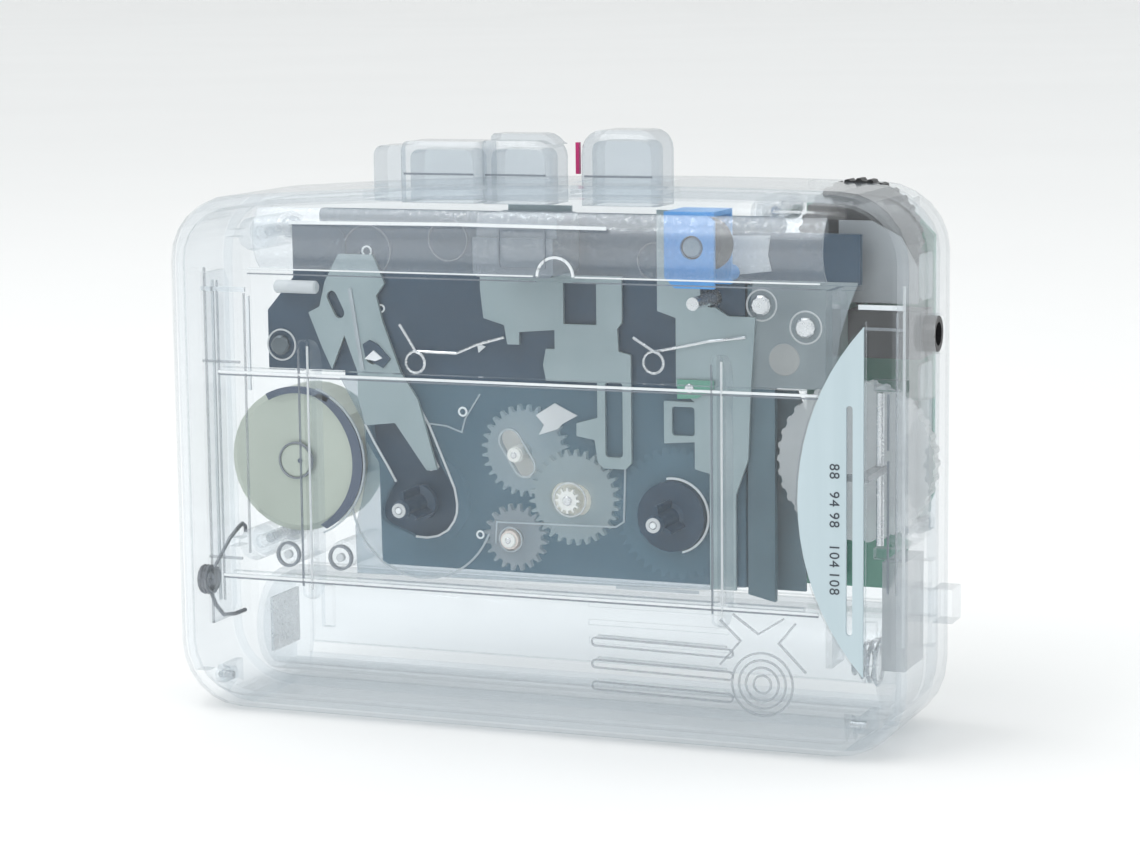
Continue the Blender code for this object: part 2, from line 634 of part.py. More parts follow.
def gear_outline(centre, teeth, first_tooth):
    """Trapezoid teeth. first_tooth is the angle of one tooth's middle, in degrees."""
    pitch_radius = MODULE * teeth / 2
    tip = pitch_radius + 0.38
    root = pitch_radius - 0.62
    pitch = 360 / teeth
    points = []
    for i in range(teeth):
        middle = first_tooth + i * pitch
        for offset, radius in ((-0.27, root), (-0.10, tip), (0.10, tip), (0.27, root)):
            angle = math.radians(middle + offset * pitch)
            points.append((centre[0] + radius * math.cos(angle), centre[1] + radius * math.sin(angle)))
    return points


def meeting_angle(one, two):
    return math.degrees(math.atan2(two[1] - one[1], two[0] - one[0]))


def make_gears():
    """Every gear has a tooth where its partner has a gap, along the line between their centres."""
    shaft_front = 16.9
    to_idler = meeting_angle(TAKE_UP, IDLER)
    gear = add_object("take_up_gear", slab(gear_outline(TAKE_UP, TAKE_UP_TEETH, to_idler), *LAYER_A),
                      "smoked",
                      (TAKE_UP_X, 19.9, REEL_Z))
    cut(gear, cylinder_y(TAKE_UP, 1.5, 18.0, 22.0, 16))
    idler_pitch = 360 / IDLER_TEETH
    idler_first = to_idler + 180 + idler_pitch / 2
    idler = add_object("idler_gear", slab(gear_outline(IDLER, IDLER_TEETH, idler_first), *LAYER_A), "nylon",
                       (IDLER[0], 20.0, IDLER[1]))
    to_drive = meeting_angle(IDLER, DRIVE)
    fuse(idler, slab(gear_outline(IDLER, PINION_TEETH, to_drive), LAYER_A[1] - 0.2, LAYER_B[1]),
         cylinder_y(IDLER, 1.6, shaft_front, LAYER_A[0] + 0.2, 16))
    drive_first = to_drive + 180 + 180 / DRIVE_TEETH
    drive = add_object("drive_gear", slab(gear_outline(DRIVE, DRIVE_TEETH, drive_first), *LAYER_B), "nylon",
                       (DRIVE[0], 21.0, DRIVE[1]))
    fuse(drive, cylinder_y(DRIVE, 1.3, shaft_front, LAYER_B[0] + 0.2, 16))
    to_fast = meeting_angle(IDLER, FAST)
    turn = (to_fast - idler_first) / idler_pitch
    phase = turn - math.floor(turn)
    fast_first = to_fast + 180 + (0.5 + phase) * 360 / FAST_TEETH
    fast = add_object("fast_gear", slab(gear_outline(FAST, FAST_TEETH, fast_first), *LAYER_A), "nylon",
                      (FAST[0], 19.9, FAST[1]))
    fuse(fast, cylinder_y(FAST, 1.5, shaft_front, LAYER_A[0] + 0.2, 16))


def make_chassis():
    plate = add_object("chassis_plate", slab(CHASSIS, CHASSIS_FRONT, CHASSIS_BACK), "smoked")
    cut(plate, slab(TEARDROP, 17.0, 20.0), cylinder_y(TAKE_UP, 1.9, 17.0, 20.0, 20),
        slab(slot_outline(step_from(IDLER, 176, 1.0), step_from(IDLER, -4, 1.0), 2.6), 17.0, 20.0),
        slab(slot_outline(step_from(DRIVE, 120, 2.6), step_from(DRIVE, -60, 2.6), 1.7), 17.0, 20.0),
        cylinder_y(FAST, 1.9, 17.0, 20.0, 20))
    upper = add_object("upper_chassis", slab(UPPER, CHASSIS_FRONT, CHASSIS_BACK), "dark")
    cut(upper, cylinder_y(CAPSTAN, CAPSTAN_R + 0.4, 17.0, 20.0, 16),
        cylinder_y(CHASSIS_SCREWS[2], 0.95, 17.0, 20.0, 12))
    side = add_object("side_chassis", slab(SIDE, CHASSIS_FRONT, CHASSIS_BACK), "frosted")
    cut(side, *[cylinder_y(centre, 0.95, 17.0, 20.0, 12) for centre in CHASSIS_SCREWS[:2]])
    for number, centre in enumerate(CHASSIS_SCREWS, 1):
        profile = [(0.0, 16.5), (1.3, 16.5), (1.6, 16.8), (1.6, 17.3), (0.7, 17.3), (0.7, 19.2),
                   (0.0, 19.2)]
        add_object(f"chassis_screw_{number}", turned(centre, profile, 10), "chrome",
                   (centre[0], 17.0, centre[1]))


def make_spindles():
    """Reel spindles with three fins. The take-up one carries a round flange and the supply one a smaller
    one."""
    profile = [(0.0, SPINDLE_TIP), (0.9, SPINDLE_TIP), (1.5, 9.3), (1.7, 15.6), (2.3, 16.1), (5.5, 16.3),
               (5.5, 17.2), (1.4, 17.3), (1.4, 19.0), (1.2, 19.1), (1.2, 21.4), (0.0, 21.4)]
    supply_profile = [(0.0, SPINDLE_TIP), (0.9, SPINDLE_TIP), (1.5, 9.3), (1.7, 15.6), (2.9, 16.1),
                      (2.9, 17.2),
                      (1.4, 17.3), (1.4, 24.0), (0.0, 24.0)]
    for name, centre, shape in (("take_up_spindle", TAKE_UP, profile),
                                ("supply_spindle", SUPPLY, supply_profile)):
        spindle = add_object(name, turned(centre, shape), "dark", (centre[0], 15.0, centre[1]))
        fins = []
        for angle in (90, 210, 330):
            near = step_from(centre, angle, 1.0)
            far = step_from(centre, angle, 2.5)
            fins.append(slab(slot_outline(near, far, 0.35, 4), 9.6, 15.9))
        fuse(spindle, *fins, overlapping=True)


def make_brake_arm():
    outline = [(-33.6, 45.4), (-30.0, 47.0), (-18.4, 38.0), *arc((-23.4, 32.6), 7.4, 20, -130, 10),
               (-31.6, 30.0),
               (-30.0, 35.4), (-34.0, 42.0)]
    arm = add_object("brake_arm", slab(outline, 19.2, 20.2), "dark", (SUPPLY_X, 19.7, REEL_Z))
    cut(arm, cylinder_y(SUPPLY, 1.7, 18.0, 22.0, 20))


def looped_wire(name, start, loop, radius, lead_in, exits, slot):
    """Torsion spring of flat wire work: a straight leg, one turn and a bent leg, clear of itself at the
    crossing."""
    front = 15.75
    back = 16.35
    points = [(*start, front)]
    steps = 16
    for i in range(steps + 1):
        angle = math.radians(lead_in - 360 * i / steps)
        depth = front + (back - front) * i / steps
        points.append((loop[0] + radius * math.cos(angle), loop[1] + radius * math.sin(angle), depth))
    points += [(*end, back) for end in exits]
    return wire(name, [(x, depth, z) for x, z, depth in points], 0.25, slot)


def make_torsion_springs():
    looped_wire("play_spring", (-26.0, 61.2), (-23.5, 55.2), 1.7, 80,
                [(-16.5, 56.8), (-13.0, 58.3), (-8.4, 59.6)], "chrome")
    looped_wire("stop_spring", (13.4, 60.4), (16.6, 56.6), 1.7, 80,
                [(20.0, 58.9), (25.5, 60.1), (31.4, 60.9)], "chrome")


# -------------------------------------------------------------------------------------- motor and drive

def make_motor():
    profile = [(0.0, 17.7), (2.5, 17.7), (2.6, 18.2), (10.8, 18.2), (MOTOR_R, 18.9), (MOTOR_R, 27.0),
               (0.0, 27.0)]
    add_object("motor", turned(MOTOR, profile, 36), "motor_can", (MOTOR[0], 22.0, MOTOR[1]))


def grooved(centre, rim, groove, front, back, steps):
    edge = 0.5
    profile = [(0.0, front), (rim, front), (rim, front + edge), (groove, front + edge + 0.1),
               (groove, back - edge - 0.1), (rim, back - edge), (rim, back), (0.0, back)]
    return turned(centre, profile, steps)


def make_drive():
    flange = 0.7
    add_object("motor_pulley", grooved(MOTOR, MOTOR_PULLEY_R + flange, MOTOR_PULLEY_R, 27.4, 30.4, 20),
               "brass",
               (MOTOR[0], BELT_DEPTH, MOTOR[1]))
    wheel = add_object("flywheel", grooved(CAPSTAN, FLYWHEEL_R, FLYWHEEL_R - GROOVE, 27.4, 30.6, 36),
                       "chrome",
                       (CAPSTAN[0], BELT_DEPTH, CAPSTAN[1]))
    cut(wheel, cylinder_y(CAPSTAN, CAPSTAN_R + 0.25, 26.0, 32.0, 16))
    add_object("capstan", cylinder_y(CAPSTAN, CAPSTAN_R, 8.0, 30.9, 16), "chrome",
               (CAPSTAN[0], 18.0, CAPSTAN[1]))
    pulley = add_object("drive_pulley", grooved(DRIVE, DRIVE_PULLEY_R + flange, DRIVE_PULLEY_R, 27.4,
                                                30.4, 28),
                        "black", (DRIVE[0], BELT_DEPTH, DRIVE[1]))
    fuse(pulley, cylinder_y(DRIVE, 1.1, LAYER_B[1] + 0.3, 27.6, 14))
    make_belt()


def convex_hull(points):
    """Hull of (x, z) points, anticlockwise."""
    ordered = sorted(points)
    halves = []
    for run in (ordered, ordered[::-1]):
        chain = []
        for point in run:
            while len(chain) > 1 and turn_of(chain[-2], chain[-1], point) <= 0:
                chain.pop()
            chain.append(point)
        halves += chain[:-1]
    return halves


def turn_of(a, b, c):
    return (b[0] - a[0]) * (c[1] - a[1]) - (b[1] - a[1]) * (c[0] - a[0])


def make_belt():
    """Flat belt round the three pulleys: the hull of their circles, with the same hull inside it."""
    pulleys = ((MOTOR, MOTOR_PULLEY_R), (CAPSTAN, FLYWHEEL_R - GROOVE), (DRIVE, DRIVE_PULLEY_R))
    outlines = []
    for extra in (BELT_GAP, BELT_GAP + BELT_THICK):
        points = [p for centre, radius in pulleys for p in circle(centre, radius + extra, 40)]
        outlines.append(convex_hull(points))
    inner, outer = outlines
    belt = add_object("drive_belt", slab(outer, BELT_DEPTH - 0.5, BELT_DEPTH + 0.5), "rubber")
    cut(belt, slab(inner, BELT_DEPTH - 2.0, BELT_DEPTH + 2.0))


# --------------------------------------------------------------------------------- board and controls

def knurled(centre, radius, teeth):
    points = []
    for i in range(teeth):
        for offset, r in ((-0.3, radius - 0.35), (-0.15, radius), (0.15, radius), (0.3, radius - 0.35)):
            angle = 2 * math.pi * (i + offset) / teeth
            points.append((centre[0] + r * math.cos(angle), centre[1] + r * math.sin(angle)))
    return points


def make_board():
    board = [(37.2, 21.0), (50.5, 21.0), (57.4, 36.0), (57.4, 76.0), (53.0, 80.6), (37.2, 80.6)]
    plate = add_object("main_board", slab(board, 28.8, 30.0), "board")
    cut(plate, cylinder_y(SCREWS[3], 3.1, 28.0, 31.0, 16))
    for number, (x, z, length) in enumerate(((39.6, 57.4, 8.4), (39.4, 64.9, 6.4)), 1):
        profile = [(0.0, 28.5 - length), (2.3, 28.5 - length), (2.6, 28.8 - length), (2.6, 28.5),
                   (0.0, 28.5)]
        add_object(f"capacitor_{number}", turned((x, z), profile, 20), "black", (x, 24.0, z))
    add_object("amplifier_chip", box(37.6, 43.8, 27.0, 28.5, 22.8, 31.2), "black")


def make_jack():
    jack = add_object("headphone_jack", box(46.6, 57.9, 19.4, 26.2, JACK_Z - 3.6, JACK_Z + 3.6), "black",
                      (57.9, JACK_DEPTH, JACK_Z))
    fuse(jack, cylinder_x(JACK_DEPTH, JACK_Z, 2.75, 57.0, 59.8, 20))
    cut(jack, cylinder_x(JACK_DEPTH, JACK_Z, 1.8, 48.0, 61.0, 20))


def make_volume():
    wheel = add_object("volume_wheel", slab(knurled(VOLUME, VOLUME_R, 32), 23.6, 26.4), "black",
                       (VOLUME[0], 25.0, VOLUME[1]))
    fuse(wheel, cylinder_y(VOLUME, 3.0, 22.9, 23.9, 20))
    add_object("volume_pot", cylinder_y(VOLUME, 5.6, 26.8, 28.5, 24), "steel", (VOLUME[0], 27.6, VOLUME[1]))


def make_tuning():
    x, z = TUNING
    wheel = add_object("tuning_wheel", slab(knurled(TUNING, TUNING_R, 36), 17.2, 20.2), "frosted",
                       (x, 18.7, z))
    fuse(wheel, cylinder_y(TUNING, 2.6, 20.0, 20.8, 20))
    can = rounded(x - 8.5, x + 8.0, z - 8.0, z + 8.0, 0.8)
    add_object("tuning_capacitor", slab(can, 21.1, 28.5), "frosted", (x, 24.8, z))
    rod = (54.0, 11.5)
    ends = [[place(across, depth, end) for across, depth in circle(rod, 0.6, 12)]
            for end in (GUIDE_ROD_LOW, GUIDE_ROD_HIGH)]
    add_object("pointer_guide_rod", loft(ends), "chrome", (rod[0], rod[1], GUIDE_ROD_LOW))
    low, high = z - 0.5, z + 0.5
    pointer = add_object("tuning_pointer", box(50.4, 54.9, 2.3, 3.1, low, high), "magenta",
                         (rod[0], rod[1], z))
    fuse(pointer, box(53.1, 54.9, 2.6, 13.0, low, high))
    cut(pointer, loft([[place(across, depth, end) for across, depth in circle(rod, 0.78, 12)]
                       for end in (low - 1.0, high + 1.0)]))


def make_band_switch():
    depth, z = SWITCH_DEPTH, SWITCH_Z
    add_object("band_switch_body", box(54.2, 57.7, 12.0, 22.6, 11.8, 28.4), "steel", (57.7, 17.0, z))
    knob = add_object("band_switch_knob", box(60.3, 63.4, depth - 2.6, depth + 2.6, z - 2.6, z + 2.6),
                      "clear",
                      (60.3, depth, z))
    fuse(knob, box(58.0, 60.6, depth - 1.2, depth + 1.2, z - 2.0, z + 2.0))


def make_rear_screws():
    for number, centre in enumerate(SCREWS, 1):
        profile = [(0.0, 23.0), (0.8, 23.0), (0.8, 31.2), (1.9, 31.2), (1.9, 32.0), (1.5, 32.4),
                   (0.0, 32.4)]
        add_object(f"rear_screw_{number}", turned(centre, profile, 12), "chrome",
                   (centre[0], 32.0, centre[1]))


def main():
    clear_scene()
    make_front_door()
    make_dial_panel()
    make_hinge_pins()
    make_main_frame()
    make_rear_cover()
    make_battery_door()
    make_battery_tray()
    make_battery_contacts()
    make_door_spring()
    make_keys()
    make_slides()
    make_head()
    make_pinch_roller()
    make_chassis()
    make_gears()
    make_spindles()
    make_brake_arm()
    make_torsion_springs()
    make_motor()
    make_drive()
    make_board()
    make_jack()
    make_volume()
    make_tuning()
    make_band_switch()
    make_rear_screws()


main()
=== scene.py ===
"""Looks of the clear cassette player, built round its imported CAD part.

Lengths are in millimetres in this file and are turned into metres by MM. The row frame is the part's own:
X to the right along the front, Y to the back, Z up, with the origin in the middle of the resting face.
Depths count from the outside of the front door, so Y = depth - HALF_DEPTH.
"""
import json
import math

import bmesh
import bpy
import numpy as np
from mathutils import Matrix, Vector
from mathutils.geometry import tessellate_polygon


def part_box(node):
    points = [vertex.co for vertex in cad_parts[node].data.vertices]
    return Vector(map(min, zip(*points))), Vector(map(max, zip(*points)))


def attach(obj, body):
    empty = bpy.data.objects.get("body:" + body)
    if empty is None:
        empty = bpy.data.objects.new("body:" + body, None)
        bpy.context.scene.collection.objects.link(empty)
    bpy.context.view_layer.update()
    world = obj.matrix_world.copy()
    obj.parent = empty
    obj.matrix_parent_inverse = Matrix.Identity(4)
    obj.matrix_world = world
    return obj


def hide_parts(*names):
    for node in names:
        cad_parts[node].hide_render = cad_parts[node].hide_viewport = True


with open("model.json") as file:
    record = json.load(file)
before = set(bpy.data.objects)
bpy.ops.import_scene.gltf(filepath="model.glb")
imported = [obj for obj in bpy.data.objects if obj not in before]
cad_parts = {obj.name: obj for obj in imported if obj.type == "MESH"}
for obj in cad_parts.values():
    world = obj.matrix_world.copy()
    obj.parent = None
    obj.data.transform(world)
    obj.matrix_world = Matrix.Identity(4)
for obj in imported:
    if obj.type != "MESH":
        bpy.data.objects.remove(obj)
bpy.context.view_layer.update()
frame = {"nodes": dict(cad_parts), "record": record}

MM = 0.001
HALF_DEPTH = 16.5
WHITE = (1.0, 1.0, 1.0)
NODES = frame["nodes"]

# ------------------------------------------------------------------------------------------- materials


class Graph:
    """A node tree with short calls for the nodes that these materials use."""

    def __init__(self, tree):
        self.tree = tree
        tree.nodes.clear()

    def add(self, kind, inputs=None, **settings):
        node = self.tree.nodes.new(kind)
        for key, value in settings.items():
            setattr(node, key, value)
        for key, value in (inputs or {}).items():
            self.feed(node.inputs[key], value)
        return node

    def feed(self, socket, value):
        if isinstance(value, bpy.types.NodeSocket):
            self.tree.links.new(value, socket)
        else:
            socket.default_value = value

    def math(self, operation, one, two=0.0, clamp=False):
        return self.add("ShaderNodeMath", {0: one, 1: two}, operation=operation, use_clamp=clamp).outputs[0]

    def noise(self, scale, detail=3.0, roughness=0.55):
        place = self.add("ShaderNodeTexCoord").outputs["Object"]
        inputs = {"Vector": place, "Scale": scale, "Detail": detail, "Roughness": roughness}
        return self.add("ShaderNodeTexNoise", inputs).outputs["Fac"]

    def span(self, value, low, high, start=0.3, end=0.7):
        """value, from start to end, brought to low to high."""
        inputs = {"Value": value, "From Min": start, "From Max": end, "To Min": low, "To Max": high}
        return self.add("ShaderNodeMapRange", inputs, clamp=True).outputs[0]

    def blend(self, factor, one, two):
        node = self.add("ShaderNodeMix", data_type="RGBA")
        self.feed(node.inputs["Factor"], factor)
        self.feed(node.inputs[6], one)
        self.feed(node.inputs[7], two)
        return node.outputs[2]

    def facing(self, power):
        """0 face on, 1 at a grazing angle, the same from both sides of a face."""
        weight = self.add("ShaderNodeLayerWeight", {"Blend": 0.5}).outputs["Facing"]
        return self.math("POWER", weight, power)

    def output(self, shader):
        self.add("ShaderNodeOutputMaterial", {"Surface": shader})


def rgba(colour):
    return (*colour, 1.0)


def new_graph(name):
    made = bpy.data.materials.new(name)
    made.use_nodes = True
    return made, Graph(made.node_tree)


def clear_plastic(name, tint, haze, haze_colour, edge_colour, edge=0.8, roughness=0.08, shine=0.02):
    """See-through moulding: a little milky, greyer where a wall is seen edge on, glossy by angle."""
    made, g = new_graph(name)
    bump = g.add("ShaderNodeBump", {"Strength": 0.12, "Distance": 0.00006,
                                    "Height": g.noise(260.0, 2.0)}).outputs[0]
    milky = g.span(g.noise(55.0), haze * 0.75, haze * 1.3)
    rim = g.math("MULTIPLY", g.facing(5.0), edge)
    veil = g.math("MULTIPLY", g.facing(2.0), 0.09)
    factor = g.math("ADD", milky, g.math("ADD", rim, veil), clamp=True)
    colour = g.blend(g.facing(1.6), rgba(haze_colour), rgba(edge_colour))
    rough = g.span(g.noise(1400.0, 2.0), roughness, roughness * 2.2)
    body = g.add("ShaderNodeBsdfPrincipled", {"Base Color": colour, "Roughness": rough,
                                              "Normal": bump}).outputs[0]
    through = g.add("ShaderNodeBsdfTransparent", {"Color": rgba(tint)}).outputs[0]
    inside = g.add("ShaderNodeMixShader", {0: factor, 1: through, 2: body}).outputs[0]
    gloss_share = g.math("MULTIPLY_ADD", g.facing(5.0), 0.6)
    gloss_share.node.inputs[2].default_value = shine
    gloss = g.add("ShaderNodeBsdfGlossy", {"Color": rgba(WHITE), "Roughness": rough, "Normal": bump})
    g.output(g.add("ShaderNodeMixShader", {0: gloss_share, 1: inside, 2: gloss.outputs[0]}).outputs[0])
    return made


def solid(name, colour, other, roughness=(0.35, 0.55), metallic=0.0, scale=120.0, stretch=None, bump=0.15,
          alpha=None, coat=0.0):
    """Opaque or cloudy finish with a mottled colour, uneven roughness and a fine bump."""
    made, g = new_graph(name)
    place = g.add("ShaderNodeTexCoord").outputs["Object"]
    if stretch:
        place = g.add("ShaderNodeMapping", {"Vector": place, "Scale": stretch}).outputs[0]
    mottle = g.add("ShaderNodeTexNoise", {"Vector": place, "Scale": scale, "Detail": 4.0}).outputs["Fac"]
    skew = g.add("ShaderNodeMapping", {"Vector": place, "Rotation": (0.5, 0.7, 0.3)}).outputs[0]
    fine = g.add("ShaderNodeTexNoise", {"Vector": skew, "Scale": scale * 11.0,
                                        "Detail": 2.0}).outputs["Fac"]
    relief = g.add("ShaderNodeBump", {"Strength": bump, "Distance": 0.00005, "Height": fine}).outputs[0]
    inputs = {"Base Color": g.blend(g.span(mottle, 0.0, 1.0), rgba(colour), rgba(other)),
              "Roughness": g.span(fine, *roughness), "Metallic": metallic, "Normal": relief,
              "Coat Weight": coat}
    if alpha is not None:
        inputs["Alpha"] = g.span(mottle, alpha * 0.94, min(alpha * 1.06, 1.0))
    g.output(g.add("ShaderNodeBsdfPrincipled", inputs).outputs[0])
    return made


def make_materials():
    cool = (0.977, 0.986, 0.992)
    return {
        "clear_plastic": clear_plastic("clear_plastic", cool, 0.016, (0.77, 0.81, 0.84),
                                       (0.21, 0.25, 0.285)),
        "frosted_plastic": solid("frosted_plastic", (0.62, 0.65, 0.66), (0.70, 0.72, 0.73), (0.4, 0.6),
                                 alpha=0.55),
        "smoked_plastic": solid("smoked_plastic", (0.15, 0.29, 0.38), (0.19, 0.33, 0.42), (0.3, 0.5),
                                alpha=0.31),
        "dark_plastic": solid("dark_plastic", (0.015, 0.047, 0.085), (0.024, 0.063, 0.108), (0.35, 0.6)),
        "black_plastic": solid("black_plastic", (0.010, 0.010, 0.011), (0.022, 0.022, 0.024), (0.3, 0.5)),
        "nylon": solid("nylon", (0.80, 0.81, 0.78), (0.88, 0.88, 0.85), (0.4, 0.6), coat=0.1),
        "silver_panel": solid("silver_panel", (0.47, 0.57, 0.61), (0.51, 0.61, 0.65), (0.28, 0.4), 0.1,
                              300.0, (1.0, 1.0, 0.06)),
        "sheet_steel": solid("sheet_steel", (0.29, 0.37, 0.39), (0.36, 0.44, 0.46), (0.34, 0.5), 0.3, 90.0),
        "bright_steel": solid("bright_steel", (0.66, 0.67, 0.68), (0.76, 0.77, 0.78), (0.16, 0.3), 0.8,
                              200.0, bump=0.06),
        "motor_steel": solid("motor_steel", (0.47, 0.52, 0.45), (0.53, 0.58, 0.51), (0.3, 0.42), 0.4, 60.0,
                             bump=0.08),
        "brass": solid("brass", (0.62, 0.46, 0.20), (0.70, 0.54, 0.26), (0.2, 0.35), 1.0),
        "rubber": solid("rubber", (0.020, 0.020, 0.021), (0.032, 0.032, 0.034), (0.7, 0.9), bump=0.3),
        "blue_plastic": solid("blue_plastic", (0.045, 0.28, 0.68), (0.075, 0.36, 0.78), (0.3, 0.45),
                              coat=0.2),
        "magenta_plastic": solid("magenta_plastic", (0.40, 0.005, 0.11), (0.50, 0.01, 0.15), (0.3, 0.45),
                                 coat=0.2),
        "circuit_board": solid("circuit_board", (0.10, 0.30, 0.22), (0.13, 0.36, 0.27), (0.35, 0.5)),
    }


MATERIALS = make_materials()
KEY_PLASTIC = clear_plastic("key_plastic", (0.93, 0.95, 0.965), 0.09, (0.50, 0.55, 0.59),
                            (0.12, 0.145, 0.17), 1.0)
# Nodes whose finish differs in shade or clearness from the rest of their slot.
OWN_FINISH = {
    "play_key": KEY_PLASTIC,
    "fast_forward_key": KEY_PLASTIC,
    "stop_key": KEY_PLASTIC,
    "side_chassis": solid("side_chassis_finish", (0.085, 0.145, 0.18), (0.105, 0.175, 0.21), (0.4, 0.6),
                          alpha=0.9),
    "playback_head": solid("head_shield", (0.20, 0.24, 0.28), (0.26, 0.30, 0.34), (0.3, 0.45), 0.4, 60.0,
                           bump=0.05),
    "door_spring": solid("spring_wire", (0.16, 0.17, 0.19), (0.24, 0.25, 0.27), (0.25, 0.4), 0.8, 200.0,
                         bump=0.05),
    # Idler: nylon of a warmer tone, also made lighter than the rest to make up for the shade it sits in
    # behind the smoked plate; that extra lightness is painted light.
    "idler_gear": solid("idler_nylon_painted_lighter", (0.86, 0.84, 0.76), (0.93, 0.91, 0.83), (0.4, 0.6), coat=0.1),
    "fast_gear": solid("fast_finish", (0.76, 0.68, 0.64), (0.84, 0.75, 0.70), (0.4, 0.6), coat=0.1),
    "band_switch_body": solid("switch_shell", (0.42, 0.45, 0.47), (0.50, 0.53, 0.55), (0.35, 0.5), 0.2,
                              90.0, alpha=0.6),
    "pinch_roller_pin": solid("pin_steel", (0.20, 0.27, 0.32), (0.26, 0.33, 0.38), (0.3, 0.45), 0.5, 90.0,
                              bump=0.05),
    "chassis_screw_3": solid("dark_screw", (0.10, 0.13, 0.15), (0.15, 0.18, 0.20), (0.3, 0.45), 0.6, 90.0,
                             bump=0.05),
    "tuning_pointer": solid("pointer_finish", (0.46, 0.47, 0.48), (0.54, 0.55, 0.56), (0.4, 0.5),
                            alpha=0.5),
}


def dress_cad_nodes():
    slots = {row["node"]: row["material_slot"] for row in frame["record"]["subparts"]}
    for name, obj in NODES.items():
        for index in range(len(obj.data.materials)):
            obj.data.materials[index] = OWN_FINISH.get(name, MATERIALS[slots[name]])


dress_cad_nodes()

# ------------------------------------------------------------------------------------- pieces of detail

# Centres on the front, as (X, Z), that several pieces share.
SUPPLY = (-23.4, 32.6)
TAKE_UP = (19.1, 32.6)
DRIVE = (-7.03, 41.02)
IDLER = (1.93, 34.21)
FAST = (-8.18, 27.30)
MOTOR = (-46.0, 38.2)
FRONT_LAYER = (17.34, 17.56)  # depths, in the gap between the sliding plates and the chassis
DOOR_LAYER = (1.62, 1.92)     # depths, just behind the door's window
LINE = 0.32                   # usual width of a moulded line
SHARP = math.radians(40.0)    # edges sharper than this stay crisp on round pieces


def point(x, depth, z):
    return Vector((x, depth - HALF_DEPTH, z)) * MM


def keep(name, bm, body, slot, finish=None, smooth=False):
    """Turns the mesh into a finished piece that rides on a CAD body."""
    bmesh.ops.recalc_face_normals(bm, faces=bm.faces)
    mesh = bpy.data.meshes.new(name)
    bm.to_mesh(mesh)
    bm.free()
    if smooth:
        mesh.shade_smooth()
        mesh.set_sharp_from_angle(angle=SHARP)
    obj = bpy.data.objects.new(name, mesh)
    bpy.context.scene.collection.objects.link(obj)
    mesh.materials.append(finish or MATERIALS[slot])
    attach(obj, body)
    return obj


def slab(name, loops, depths, body, slot, finish=None):
    """Plate between two depths. The first loop is its outline and the others are its holes."""
    bm = bmesh.new()
    triangles = tessellate_polygon([[Vector((x, z, 0.0)) for x, z in loop] for loop in loops])
    flat = [corner for loop in loops for corner in loop]
    front, back = ([bm.verts.new(point(x, depth, z)) for x, z in flat] for depth in depths)
    for triangle in triangles:
        bm.faces.new([front[i] for i in triangle])
        bm.faces.new([back[i] for i in reversed(triangle)])
    start = 0
    for loop in loops:
        for i in range(len(loop)):
            one, two = start + i, start + (i + 1) % len(loop)
            bm.faces.new((front[one], front[two], back[two], back[one]))
        start += len(loop)
    return keep(name, bm, body, slot, finish)


def circle(centre, radius, count=48, start=0.0, end=2.0 * math.pi):
    """Points round a circle, or along part of it with both ends included."""
    closed = abs(end - start - 2.0 * math.pi) < 1e-6
    steps = np.linspace(start, end, count, endpoint=not closed)
    return [(centre[0] + radius * math.cos(a), centre[1] + radius * math.sin(a)) for a in steps]


def rounded_loop(x0, x1, z0, z1, radius, count=7):
    """Rectangle with round corners."""
    corners = [(x1 - radius, z0 + radius, -90), (x1 - radius, z1 - radius, 0),
               (x0 + radius, z1 - radius, 90),
               (x0 + radius, z0 + radius, 180)]
    return [(x + radius * math.cos(math.radians(a)), z + radius * math.sin(math.radians(a)))
            for x, z, first in corners for a in np.linspace(first, first + 90, count)]


def stroke(path, width=LINE):
    """Outline of a line of this width along the path."""
    points = [Vector(p) for p in path]
    left, right = [], []
    for i, p in enumerate(points):
        before = (p - points[i - 1]).normalized() if i else (points[1] - p).normalized()
        after = (points[i + 1] - p).normalized() if i + 1 < len(points) else before
        along = (before + after).normalized()
        side = Vector((-along.y, along.x)) * (width / 2.0 / max(along.dot(after), 0.4))
        left.append(tuple(p + side))
        right.append(tuple(p - side))
    return left + right[::-1]


def arc(centre, radius, start, end, count=40):
    """Points along part of a circle, with its angles in degrees."""
    return circle(centre, radius, count, math.radians(start), math.radians(end))


def obround(centre, length, width, angle):
    """Slot outline: length between the centres of its round ends, turned by angle in degrees."""
    turn = math.radians(angle)
    along = Vector((math.cos(turn), math.sin(turn))) * (length / 2.0)
    one = arc(tuple(Vector(centre) + along), width / 2.0, angle - 90, angle + 90, 12)
    two = arc(tuple(Vector(centre) - along), width / 2.0, angle + 90, angle + 270, 12)
    return one + two


def turned(name, centre, profile, body, slot, finish=None, count=48):
    """Round piece about a front-to-back axis. The profile is a closed run of (radius, depth)."""
    bm = bmesh.new()
    rings = []
    for radius, depth in profile:
        if radius < 1e-6:
            rings.append([bm.verts.new(point(centre[0], depth, centre[1]))] * count)
        else:
            rings.append([bm.verts.new(point(x, depth, z)) for x, z in circle(centre, radius, count)])
    for one, two in zip(rings, rings[1:] + rings[:1]):
        for i in range(count):
            corners = list(dict.fromkeys((one[i - 1], one[i], two[i], two[i - 1])))
            if len(corners) > 2:
                bm.faces.new(corners)
    return keep(name, bm, body, slot, finish, smooth=True)


def disc(name, centre, radius, depths, body, slot, finish=None, edge=0.12):
    """Flat disc with a softened front edge."""
    front, back = depths
    turned(name, centre, [(0.0, front), (radius - edge, front), (radius, front + edge), (radius, back),
                          (0.0, back)],
           body, slot, finish)


def ring(name, centre, inner, outer, depths, body, slot, finish=None, edge=0.06):
    front, back = depths
    turned(name, centre, [(inner + edge, front), (outer - edge, front), (outer, front + edge),
                          (outer, back),
                          (inner, back), (inner, front + edge)], body, slot, finish)


